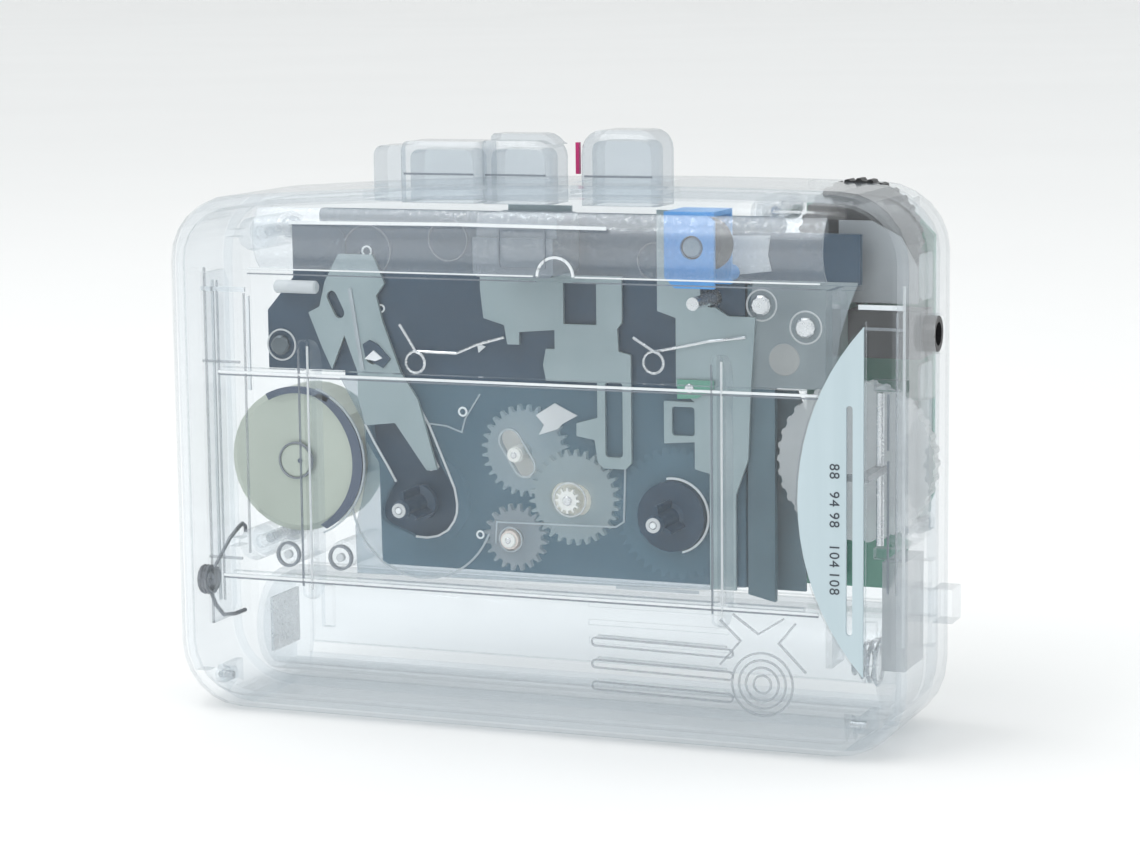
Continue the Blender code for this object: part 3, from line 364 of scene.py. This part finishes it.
def rod(name, ends, radius, body, slot, finish=None, count=20, edge=0.25):
    """Straight round bar between two points (X, depth, Z), with eased ends."""
    start, end = (point(*p) for p in ends)
    axis = (end - start).normalized()
    across = axis.orthogonal().normalized()
    other = axis.cross(across)
    length = (end - start).length
    ease = edge * MM
    bm = bmesh.new()
    rings = []
    for along, size in ((0.0, radius - edge), (ease, radius), (length - ease, radius),
                        (length, radius - edge)):
        rings.append([bm.verts.new(start + axis * along
                                   + (across * math.cos(a) + other * math.sin(a)) * size * MM)
                      for a in np.linspace(0.0, 2.0 * math.pi, count, endpoint=False)])
    for one, two in zip(rings, rings[1:]):
        for i in range(count):
            bm.faces.new((one[i - 1], one[i], two[i], two[i - 1]))
    bm.faces.new(rings[0][::-1])
    bm.faces.new(rings[-1])
    return keep(name, bm, body, slot, finish, smooth=True)


# Finishes of the small moulded edges and films. EDGE_LIGHT, EDGE_SOFT and SOFT_WHITE also serve as painted
# highlights along edges, and EDGE_SHADE as painted shade beside them.
EDGE_LIGHT = solid("edge_highlight", (0.80, 0.83, 0.85), (0.88, 0.90, 0.91), (0.25, 0.4), coat=0.3)
EDGE_SHADE = solid("edge_shade", (0.24, 0.27, 0.31), (0.30, 0.33, 0.37), (0.4, 0.6), alpha=0.7)
EDGE_DARK = solid("edge_dark", (0.06, 0.09, 0.14), (0.08, 0.11, 0.17), (0.4, 0.6))
EDGE_SOFT = solid("edge_soft", (0.50, 0.56, 0.60), (0.60, 0.65, 0.69), (0.35, 0.5), alpha=0.62)
EDGE_FAINT = solid("edge_faint", (0.34, 0.37, 0.40), (0.42, 0.45, 0.48), (0.4, 0.6), alpha=0.38)
FROSTED_GREY = solid("frosted_grey", (0.24, 0.29, 0.31), (0.30, 0.35, 0.37), (0.5, 0.7), alpha=0.9)
BAND_GREY = solid("band_grey", (0.13, 0.19, 0.24), (0.17, 0.23, 0.28), (0.4, 0.6), alpha=0.85)
SPOT = solid("soft_spot", (0.62, 0.62, 0.60), (0.70, 0.69, 0.66), (0.6, 0.8), alpha=0.45)
SIDE_GREY = solid("side_grey", (0.32, 0.38, 0.38), (0.38, 0.44, 0.44), (0.4, 0.6), 0.1, 90.0)
LENS = clear_plastic("lens_plastic", (0.97, 0.98, 0.99), 0.02, (0.78, 0.81, 0.84), (0.16, 0.22, 0.26),
                     0.9, 0.22, 0.10)
SOFT_WHITE = solid("soft_white", (0.70, 0.73, 0.75), (0.80, 0.82, 0.83), (0.45, 0.6), alpha=0.75)


def light_line(name, path, body="case", depths=FRONT_LAYER, width=LINE, finish=None):
    """Pale raised line along a moulded edge: it stands for the edge and the highlight on it, painted into
    its colour.
    """
    slab(name, [stroke(path, width)], depths, body, "frosted_plastic", finish or EDGE_SOFT)


def make_gear_bed():
    """Dark moulding behind the wheels of the drive, pierced for the pulley and the supply spindle."""
    bed = [(-33.0, 21.0), (30.2, 21.0), (30.2, 51.8), (-28.0, 51.8), (-33.4, 47.0)]
    slab("gear_bed", [bed, circle(DRIVE, 6.4), circle(SUPPLY, 3.4)], (22.65, 23.2), "case", "dark_plastic")


def make_gear_details():
    """Hubs on the front of the drive wheels and the rims of the openings round them."""
    tooth_count = 12
    teeth = [(IDLER[0] + r * math.cos(a), IDLER[1] + r * math.sin(a))
             for k in range(tooth_count)
             for a, r in ((2 * math.pi * (k - 0.22) / tooth_count, 1.55),
                          (2 * math.pi * (k - 0.12) / tooth_count, 2.05),
                          (2 * math.pi * (k + 0.12) / tooth_count, 2.05),
                          (2 * math.pi * (k + 0.22) / tooth_count, 1.55))]
    slab("idler_hub_teeth", [teeth], (16.35, 16.85), "idler_gear", "nylon")
    disc("idler_hub_cap", IDLER, 0.75, (16.1, 16.35), "idler_gear", "bright_steel")
    for name, centre, body in (("drive", DRIVE, "drive_gear"), ("fast", FAST, "fast_gear")):
        disc(name + "_hub_cap", centre, 1.15, (16.35, 16.85), body, "nylon")
        disc(name + "_hub_pin", centre, 0.5, (16.15, 16.35), body, "bright_steel")
    slot_centre, slot_angle = (-6.9, 41.2), 122.0
    slab("drive_slot_rim", [obround(slot_centre, 4.6, 3.9, slot_angle),
                            obround(slot_centre, 4.6, 3.3, slot_angle)],
         FRONT_LAYER, "case", "frosted_plastic", EDGE_SOFT)
    ring("fast_slot_rim", FAST, 1.75, 2.05, FRONT_LAYER, "case", "frosted_plastic", EDGE_SOFT)
    ring("idler_slot_rim", IDLER, 2.5, 2.8, FRONT_LAYER, "case", "frosted_plastic", SOFT_WHITE)


def make_chassis_lines():
    """Rims, pins and films in the thin gap in front of the chassis, and small parts beside them. The pale
    lines along rims and edges carry painted highlights.
    """
    light_line("supply_well_rim", arc(SUPPLY, 12.4, 150, 338, 60))
    rim = [(-24.1, 48.6), (-21.9, 44.9), (-20.4, 41.4), (-18.9, 37.9), (-17.7, 35.0), (-17.3, 32.6),
           (-17.4, 31.0), (-17.9, 29.7), (-19.0, 28.2), (-20.7, 27.2), (-22.6, 26.8), (-24.6, 26.9)]
    light_line("brake_well_rim", rim, finish=SOFT_WHITE)
    light_line("brake_well_left", [(-33.2, 44.7), (-31.5, 41.6), (-29.4, 38.2), (-27.9, 35.6)],
               finish=SOFT_WHITE)
    slab("brake_wedge", [[(-28.0, 45.4), (-24.6, 46.3), (-20.3, 38.3), (-21.8, 37.6)]], FRONT_LAYER, "case",
         "frosted_plastic", SOFT_WHITE)
    light_line("guide_rib", [(-22.4, 45.3), (-18.9, 45.0), (-16.3, 44.1), (-15.7, 46.3), (-13.1, 50.3)],
               width=0.22)
    ring("guide_pin_ring", (-16.1, 47.4), 0.5, 0.8, FRONT_LAYER, "case", "frosted_plastic", EDGE_LIGHT)
    light_line("drive_frame_rib", [(-10.7, 26.6), (-10.5, 30.0), (9.6, 30.3), (11.0, 31.2), (11.3, 39.8)],
               width=0.26)
    light_line("take_up_ledge", [(9.6, 20.75), (23.3, 20.75)], width=0.5)
    light_line("take_up_crescent", arc(TAKE_UP, 5.85, -75, 100, 40), width=0.34, finish=EDGE_LIGHT)
    slab("reel_pawl", [[(-3.6, 47.4), (-0.4, 49.4), (3.4, 47.6), (0.9, 46.2), (0.0, 45.3), (-3.1, 44.3),
                        (-2.2, 45.9)]],
         FRONT_LAYER, "case", "frosted_plastic", SOFT_WHITE)
    slab("cassette_sense_tip", [[(-13.4, 58.4), (-12.0, 57.9), (-13.2, 56.9)]], FRONT_LAYER, "case",
         "frosted_plastic", EDGE_LIGHT)
    for i, (centre, radius) in enumerate([((-32.3, 72.5), 0.9), ((-30.0, 63.4), 0.7), ((40.6, 62.6), 2.6),
                                          ((33.6, 65.8), 2.5), ((-47.8, 57.0), 2.6), ((-13.4, 27.8), 0.7)]):
        ring("chassis_ring_%d" % (i + 1), centre, radius - 0.28, radius, FRONT_LAYER, "case",
             "frosted_plastic", EDGE_LIGHT if radius < 1.0 else SOFT_WHITE)
    for i, (centre, radius) in enumerate([((-32.3, 72.5), 4.2), ((-18.2, 74.6), 3.4), ((16.5, 72.0), 3.0)]):
        ring("chassis_rim_%d" % (i + 1), centre, radius - 0.2, radius, FRONT_LAYER, "case",
             "dark_plastic", EDGE_SHADE)
    slab("shield_film", [[(26.2, 76.2), (35.0, 76.4), (34.6, 73.4), (35.2, 71.0), (28.6, 70.2),
                          (27.6, 72.4), (26.2, 73.5)]],
         FRONT_LAYER, "case", "sheet_steel", SOFT_WHITE)
    frosted_panel = [(32.2, 69.6), (48.8, 69.6), (47.4, 66.0), (45.8, 61.0), (45.0, 53.2), (31.8, 53.2),
                     (31.4, 60.0)]
    slab("frosted_panel", [frosted_panel], (17.40, 17.58), "case", "frosted_plastic", FROSTED_GREY)
    disc("panel_light_spot", (37.2, 57.6), 2.5, FRONT_LAYER, "case", "frosted_plastic", SPOT)
    slab("band_filler", [rounded_loop(-44.6, -36.0, 69.6, 76.4, 2.6)], FRONT_LAYER, "case", "dark_plastic")
    slab("sensor_board", [[(20.4, 54.1), (26.3, 54.1), (26.3, 52.9), (23.6, 51.3), (20.4, 51.1)]],
         (16.1, 16.4), "case", "circuit_board")
    disc("sensor_board_screw", (22.4, 52.8), 0.75, (15.8, 16.1), "case", "bright_steel")
    rod("wire_guide_tube", ((-47.6, 15.4, 66.7), (-40.2, 15.4, 66.7)), 1.05, "case", "frosted_plastic",
        SOFT_WHITE)
    slab("latch_block", [rounded_loop(35.6, 44.5, 76.3, 80.3, 0.6)], (12.4, 16.2), "case", "clear_plastic")


def make_lever_details():
    """The post seen in the lever's window, its pin, and a pale line along the lever's fold that is a
    painted highlight.
    """
    body = "fast_forward_lever"
    slab("lever_window_post", [[(-32.9, 57.7), (-31.7, 58.4), (-30.3, 57.8), (-28.1, 55.5), (-29.4, 54.0),
                                (-32.4, 55.5)]],
         (16.45, 16.68), body, "dark_plastic")
    slab("lever_window_pin", [[(-32.5, 55.4), (-30.9, 56.8), (-29.4, 55.6), (-30.6, 55.1)]],
         (16.2, 16.43), body, "frosted_plastic", EDGE_LIGHT)
    # Painted highlight along the lever's fold.
    light_line("lever_fold", [(-35.0, 66.6), (-33.0, 53.6)], body, (16.4, 16.68), 0.6)


def make_reel_details():
    """Pale ring and pin at the tip of each reel spindle."""
    for name, centre, body in (("supply", SUPPLY, "supply_reel"), ("take_up", TAKE_UP, "take_up_reel")):
        ring(name + "_tip_ring", centre, 0.62, 1.15, (8.3, 8.58), body, "sheet_steel", SOFT_WHITE)
        disc(name + "_tip_pin", centre, 0.5, (8.2, 8.58), body, "bright_steel", EDGE_LIGHT, 0.1)


def make_motor_details():
    """Hub on the motor's face, and the dark crescent round its right edge: the edge of the chassis hole
    round the motor, with the shadow along it painted in dark.
    """
    hub = (MOTOR[0] + 0.3, MOTOR[1])
    ring("motor_hub_rim", hub, 2.75, 3.05, (17.2, 17.68), "case", "motor_steel", EDGE_SHADE)
    disc("motor_hub", hub, 2.75, (17.35, 17.68), "case", "motor_steel", edge=0.2)
    disc("motor_hub_dot", (hub[0] + 0.8, hub[1]), 0.38, (17.1, 17.33), "case", "dark_plastic", EDGE_DARK,
         0.1)
    # Painted shadow: the dark crescent on the motor's right side stands for the hole's edge and the shadow
    # beside it.
    crescent = arc(MOTOR, 12.3, -62, 66, 48) + arc((MOTOR[0] - 1.3, MOTOR[1]), 11.9, 64, -60, 48)
    slab("motor_hole_shadow", [crescent], (17.0, 17.4), "case", "dark_plastic", EDGE_DARK)
    light_line("motor_clip_rim", arc(MOTOR, 12.65, -66, 70, 48), depths=(17.0, 17.4), width=0.3)
    slab("motor_top_strap", [stroke(arc((MOTOR[0] + 1.0, MOTOR[1]), 11.6, 62, 118, 24), 1.1)],
         (17.0, 17.5), "case", "dark_plastic", EDGE_DARK)


def make_door_details():
    """Lines and rings on the inner face of the door: moulded rings, webs and the outlines of the fins and
    label, and pale and dark lines that are painted highlights and painted shade along the door's ribs,
    fins, band step and rounded top.
    """
    def line(name, path, width=0.3, finish=EDGE_LIGHT):
        slab(name, [stroke(path, width)], DOOR_LAYER, "door", "clear_plastic", finish)

    # The pale lines on the window's top and low ribs are painted highlights, and the thin dark lines beside
    # them are painted shade.
    line("window_rib_top", [(-51.0, 54.5), (47.4, 54.5)], 0.38)
    line("window_rib_top_shade", [(-51.0, 54.05), (47.4, 54.05)], 0.22, EDGE_SHADE)
    line("window_rib_low", [(-51.0, 22.0), (47.4, 22.0)], 0.34)
    line("window_rib_low_shade", [(-51.0, 21.6), (47.4, 21.6)], 0.2, EDGE_SHADE)
    # Pale lines: painted highlight along the step under the band and round the finger notch; dark lines:
    # painted shade beside the step.
    line("band_rib_a", [(-45.5, 70.9), (2.6, 70.9)], 0.22)
    line("band_rib_b", [(9.4, 70.9), (47.6, 70.9)], 0.22)
    line("band_rib_c", [(-45.5, 70.1), (3.0, 70.1)], 0.2, EDGE_SHADE)
    line("band_rib_d", [(9.0, 70.1), (47.6, 70.1)], 0.2, EDGE_SHADE)
    line("finger_notch", arc((6.2, 70.9), 2.9, 0, 180, 24), 0.4)
    # band_glint: a pale raised line standing for the highlight streak along the door's rounded top, a
    # painted highlight.
    line("band_glint", [(-38.0, 78.2), (-10.0, 78.45), (14.5, 78.3)], 0.5)
    slab("blank_label", [rounded_loop(-3.0, 4.7, 71.9, 78.1, 0.4),
                         rounded_loop(-2.75, 4.45, 72.15, 77.85, 0.3)],
         DOOR_LAYER, "door", "clear_plastic", EDGE_SHADE)
    for side, x in (("left", -36.2), ("right", 31.7)):
        slab("fin_rim_" + side, [rounded_loop(x - 0.85, x + 0.85, 19.2, 60.0, 0.8),
                                 rounded_loop(x - 0.6, x + 0.6, 19.45, 59.75, 0.55)],
             DOOR_LAYER, "door", "clear_plastic")
        # Pale line: painted highlight along the fin's front edge; dark line: painted shade down its left
        # side.
        line("fin_light_" + side, [(x + 0.75, 20.5), (x + 0.75, 59.0)], 0.26)
        line("fin_shade_" + side, [(x - 0.8, 21.0), (x - 0.8, 58.5)], 0.24, EDGE_SHADE)
    boss = (38.7, 10.8)
    for i, radius in enumerate((1.5, 2.7, 3.8, 4.9)):
        ring("boss_ring_%d" % (i + 1), boss, radius - 0.3, radius, DOOR_LAYER, "door", "clear_plastic",
             EDGE_FAINT)
    for i, path in enumerate([[(-6.6, 9.4), (-3.4, 6.4), (-6.6, 2.6)], [(5.2, 9.6), (2.6, 6.4), (6.8, 2.2)],
                              [(-4.6, 10.4), (-0.6, 7.6), (3.4, 10.2)]]):
        line("boss_web_%d" % (i + 1), [(boss[0] + x, boss[1] + z) for x, z in path], 0.3, EDGE_FAINT)


def side_plate(name, sides_x, depths, heights, ease=0.6):
    """Upright plate with cut corners that faces the end of the case."""
    (d0, d1), (z0, z1) = depths, heights
    outline = [(d0 + ease, z0), (d1 - ease, z0), (d1, z0 + ease), (d1, z1 - ease), (d1 - ease, z1),
               (d0 + ease, z1), (d0, z1 - ease), (d0, z0 + ease)]
    bm = bmesh.new()
    sides = [[bm.verts.new(point(x, d, z)) for d, z in outline] for x in sides_x]
    for k in range(len(outline)):
        bm.faces.new((sides[0][k - 1], sides[0][k], sides[1][k], sides[1][k - 1]))
    for side in sides:
        bm.faces.new(side)
    keep(name, bm, "case", "sheet_steel", SIDE_GREY)


def make_band():
    """Bowed strip behind the door's top edge, the dark moulding above the chassis, and the side web."""
    count, half_angle, centre_z, radius, skin = 15, math.radians(50.0), 75.6, 6.2, 0.3
    front = 1.75
    x0, x1 = -44.5, 48.0
    bm = bmesh.new()
    angles = np.linspace(-half_angle, half_angle, count)
    outer = [(front + radius * (1.0 - math.cos(a)), centre_z + radius * math.sin(a)) for a in angles]
    inner = [(front + radius - (radius - skin) * math.cos(a),
              centre_z + (radius - skin) * math.sin(a)) for a in angles]
    section = outer + inner[::-1]
    ends = [[bm.verts.new(point(x, d, z)) for d, z in section] for x in (x0, x1)]
    size = len(section)
    for i in range(size):
        bm.faces.new((ends[0][i - 1], ends[0][i], ends[1][i], ends[1][i - 1]))
    for end in ends:
        for i in range(count - 1):
            bm.faces.new((end[i], end[i + 1], end[size - 2 - i], end[size - 1 - i]))
    keep("band_lens", bm, "door", "clear_plastic", LENS, smooth=True)
    slab("band_top_moulding", [rounded_loop(-42.0, 36.4, 76.4, 79.0, 0.8)], (20.5, 21.2), "case",
         "dark_plastic", BAND_GREY)
    radio_shield = [(44.5, 66.2), (56.9, 66.2), (56.9, 71.5), (54.2, 76.2), (49.6, 78.6), (44.5, 78.6)]
    slab("radio_shield", [radio_shield], (21.6, 22.0), "case", "sheet_steel",
         OWN_FINISH["band_switch_body"])
    for i, heights in enumerate(((66.6, 73.6), (33.6, 57.0))):
        side_plate("side_shield_%d" % (i + 1), (56.95, 57.3), (21.8, 28.4), heights)
    slab("side_web", [[(31.0, 21.2), (39.4, 21.2), (39.4, 49.0), (38.0, 52.4), (31.0, 52.4)]],
         (21.3, 21.9), "case", "dark_plastic", OWN_FINISH["side_chassis"])


def make_case_ribs():
    """Upright lines and steps inside the two ends of the case. They stand for the walls' ribs and edges,
    with the highlights and shade along them painted into their pale and grey finishes.
    """
    depths = (9.9, 10.3)
    for i, (x, z0, z1, width, finish) in enumerate([
            (-57.6, 12.0, 70.0, 0.3, EDGE_FAINT), (-56.2, 16.0, 68.0, 0.4, SOFT_WHITE),
            (-55.4, 16.0, 68.0, 0.25, EDGE_FAINT), (-50.6, 24.0, 66.0, 0.25, EDGE_FAINT),
            (-49.9, 50.5, 65.6, 0.5, EDGE_LIGHT),
            (56.9, 24.0, 66.0, 0.3, EDGE_FAINT),
            (55.6, 24.0, 44.0, 0.28, EDGE_SHADE), (55.6, 45.6, 54.0, 0.28, EDGE_SHADE),
            (58.0, 16.0, 70.0, 0.3, SOFT_WHITE)]):
        slab("case_rib_%d" % (i + 1), [stroke([(x, z0), (x, z1)], width)], depths, "case",
             "clear_plastic", finish)
    for i, (x0, x1, z, width) in enumerate([(-58.2, -50.4, 66.6, 0.7), (-58.2, -51.6, 54.9, 0.4),
                                            (-58.0, -52.0, 23.0, 0.4),
                                            (51.0, 57.8, 66.8, 0.7), (51.6, 57.8, 63.6, 0.4)]):
        slab("case_step_%d" % (i + 1), [stroke([(x0, z), (x1, z)], width)], depths, "case", "clear_plastic",
             EDGE_LIGHT if width > 0.5 else EDGE_FAINT)


def make_dial():
    """The dial panel a hair lower than its CAD solid, and the numbers printed proud of it up to that
    solid's face."""
    skin = 0.06
    low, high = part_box("dial_panel")
    mesh = NODES["dial_panel"].data.copy()
    for vertex in mesh.vertices:
        if vertex.co.y < low[1] + 0.1 * MM:
            vertex.co.y = low[1] + skin * MM
    face = bpy.data.objects.new("dial_face", mesh)
    bpy.context.scene.collection.objects.link(face)
    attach(face, "door")
    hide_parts("dial_panel")
    ink = solid("dial_ink", (0.035, 0.045, 0.06), (0.06, 0.07, 0.085), (0.5, 0.7))
    for text, height in (("88", 43.8), ("94", 39.7), ("98", 36.6), ("104", 31.3), ("108", 27.2)):
        font = bpy.data.curves.new("number", "FONT")
        font.body = text
        font.size = 2.15 * MM
        font.align_x, font.align_y = "CENTER", "CENTER"
        font.space_character = 1.15
        font.extrude = (skin / 2.0) * MM
        holder = bpy.data.objects.new("number", font)
        bpy.context.scene.collection.objects.link(holder)
        bpy.context.view_layer.update()
        made = bpy.data.meshes.new_from_object(holder.evaluated_get(bpy.context.evaluated_depsgraph_get()))
        bpy.data.objects.remove(holder)
        upright = Matrix.Rotation(math.radians(90.0), 4, "X")
        quarter = Matrix.Rotation(math.radians(90.0), 4, "Y")
        made.transform(Matrix.Translation(point(50.3, skin / 2.0, height)) @ quarter @ upright)
        number = bpy.data.objects.new("dial_number_" + text, made)
        bpy.context.scene.collection.objects.link(number)
        made.materials.clear()
        made.materials.append(ink)
        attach(number, "door")


def make_key_details():
    """Dark moulding line across the foot of each key."""
    for name, body in (("play_key", "play"), ("fast_forward_key", "fast_forward"), ("stop_key", "stop")):
        low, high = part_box(name)
        x0, x1 = low[0] / MM + 0.8, high[0] / MM - 0.8
        front = low[1] / MM + HALF_DEPTH
        if name == "fast_forward_key":
            x0 += 5.6
        slab(name + "_foot", [stroke([(x0, 85.3), (x1, 85.3)], 0.3)], (front - 0.12, front + 0.1), body,
             "clear_plastic", EDGE_SHADE)


def make_battery_details():
    """Long ribs on the front of the battery tray, a painted highlight along the top of each, and the bosses
    under the motor.
    """
    for i, height in enumerate((12.2, 8.7, 5.2)):
        centre = (18.0, height)
        slab("tray_rib_%d" % (i + 1), [obround(centre, 22.0, 1.5, -1.0), obround(centre, 22.0, 1.0, -1.0)],
             (14.8, 15.2), "case", "clear_plastic", EDGE_FAINT)
        # Pale line just above each rib: painted highlight on the groove's upper edge.
        slab("tray_rib_light_%d" % (i + 1), [obround((centre[0], height + 1.0), 21.0, 0.35, -1.0)],
             (14.8, 15.2), "case", "clear_plastic", SOFT_WHITE)
    for i, x in enumerate((-48.0, -38.6)):
        ring("foot_boss_%d" % (i + 1), (x, 22.4), 1.7, 2.1, (18.2, 19.0), "case", "clear_plastic",
             EDGE_SHADE)
        disc("foot_boss_pin_%d" % (i + 1), (x, 22.4), 0.7, (18.2, 19.0), "case", "frosted_plastic",
             SOFT_WHITE)


make_gear_bed()
make_gear_details()
make_chassis_lines()
make_lever_details()
make_reel_details()
make_motor_details()
make_door_details()
make_band()
make_case_ribs()
make_dial()
make_key_details()
make_battery_details()

# ----------------------------------------------------------------------------- floor, light and camera


def make_floor():
    """Pale ground that turns up into a backdrop far behind the object."""
    turn_start, turn_radius, wall_top, half_width = 6.0, 2.0, 6.0, 9.0
    run = [(-4.0, 0.0), (turn_start, 0.0)]
    run += [(turn_start + turn_radius * math.sin(a), turn_radius * (1.0 - math.cos(a)))
            for a in np.linspace(0.1, math.pi / 2, 16)]
    run.append((turn_start + turn_radius, wall_top))
    bm = bmesh.new()
    rows = [[bm.verts.new((x, y, z)) for y, z in run] for x in (-half_width, half_width)]
    for i in range(len(run) - 1):
        bm.faces.new((rows[0][i], rows[1][i], rows[1][i + 1], rows[0][i + 1]))
    mesh = bpy.data.meshes.new("floor")
    bm.to_mesh(mesh)
    bm.free()
    mesh.shade_smooth()
    floor = bpy.data.objects.new("floor", mesh)
    bpy.context.scene.collection.objects.link(floor)
    mesh.materials.append(solid("floor_paint", (0.925, 0.925, 0.92), (0.94, 0.94, 0.935), (0.6, 0.7),
                                scale=3.0, bump=0.02))


def area_light(name, place, aim, size, power, colour=WHITE):
    data = bpy.data.lights.new(name, "AREA")
    data.shape = "RECTANGLE"
    data.size, data.size_y = size
    data.energy = power
    data.color = colour
    lamp = bpy.data.objects.new(name, data)
    lamp.location = place
    lamp.rotation_euler = (Vector(aim) - Vector(place)).to_track_quat("-Z", "Y").to_euler()
    bpy.context.scene.collection.objects.link(lamp)


def make_light():
    """Even pale room light, with a long lamp over the front, a tall one at the right and one above."""
    world = bpy.data.worlds.new("studio")
    bpy.context.scene.world = world
    world.use_nodes = True
    g = Graph(world.node_tree)
    place = g.add("ShaderNodeTexCoord").outputs["Generated"]
    height = g.add("ShaderNodeSeparateXYZ", {0: place}).outputs["Z"]
    sky = g.blend(g.span(height, 0.0, 1.0, -0.1, 0.9), (0.640, 0.665, 0.675, 1.0),
                  (0.935, 0.950, 0.955, 1.0))
    room = g.add("ShaderNodeBackground", {"Color": sky, "Strength": 1.05}).outputs[0]
    g.add("ShaderNodeOutputWorld", {"Surface": room})
    centre = (0.0, 0.0, 0.05)
    area_light("key", (-0.45, -0.85, 0.95), centre, (1.1, 0.14), 3.4, (1.0, 0.99, 0.98))
    area_light("fill", (1.0, -0.65, 0.40), centre, (0.12, 0.9), 1.3, (0.95, 0.98, 1.0))
    area_light("top", (-0.35, -0.15, 1.0), centre, (0.9, 0.16), 2.2)


def make_camera():
    """Long lens from the right and a little above, turned about its own axis by a small roll."""
    place = Vector((181.57, -451.18, 117.46)) * MM
    target = Vector((2.304, 0.5, 45.75)) * MM
    roll = math.radians(-0.642)
    back = (place - target).normalized()
    right = Vector((0.0, 0.0, 1.0)).cross(back).normalized()
    up = back.cross(right)
    turned_right = right * math.cos(roll) + up * math.sin(roll)
    turned_up = up * math.cos(roll) - right * math.sin(roll)
    data = bpy.data.cameras.new("camera")
    data.lens = 99.44
    data.sensor_width = 36.0
    data.clip_start, data.clip_end = 0.01, 20.0
    camera = bpy.data.objects.new("camera", data)
    basis = Matrix((turned_right, turned_up, back)).transposed().to_4x4()
    camera.matrix_world = Matrix.Translation(place) @ basis
    bpy.context.scene.collection.objects.link(camera)
    bpy.context.scene.camera = camera


make_floor()
make_light()
make_camera()
bpy.context.scene.view_settings.view_transform = "Standard"
bpy.context.scene.cycles.transparent_max_bounces = 40
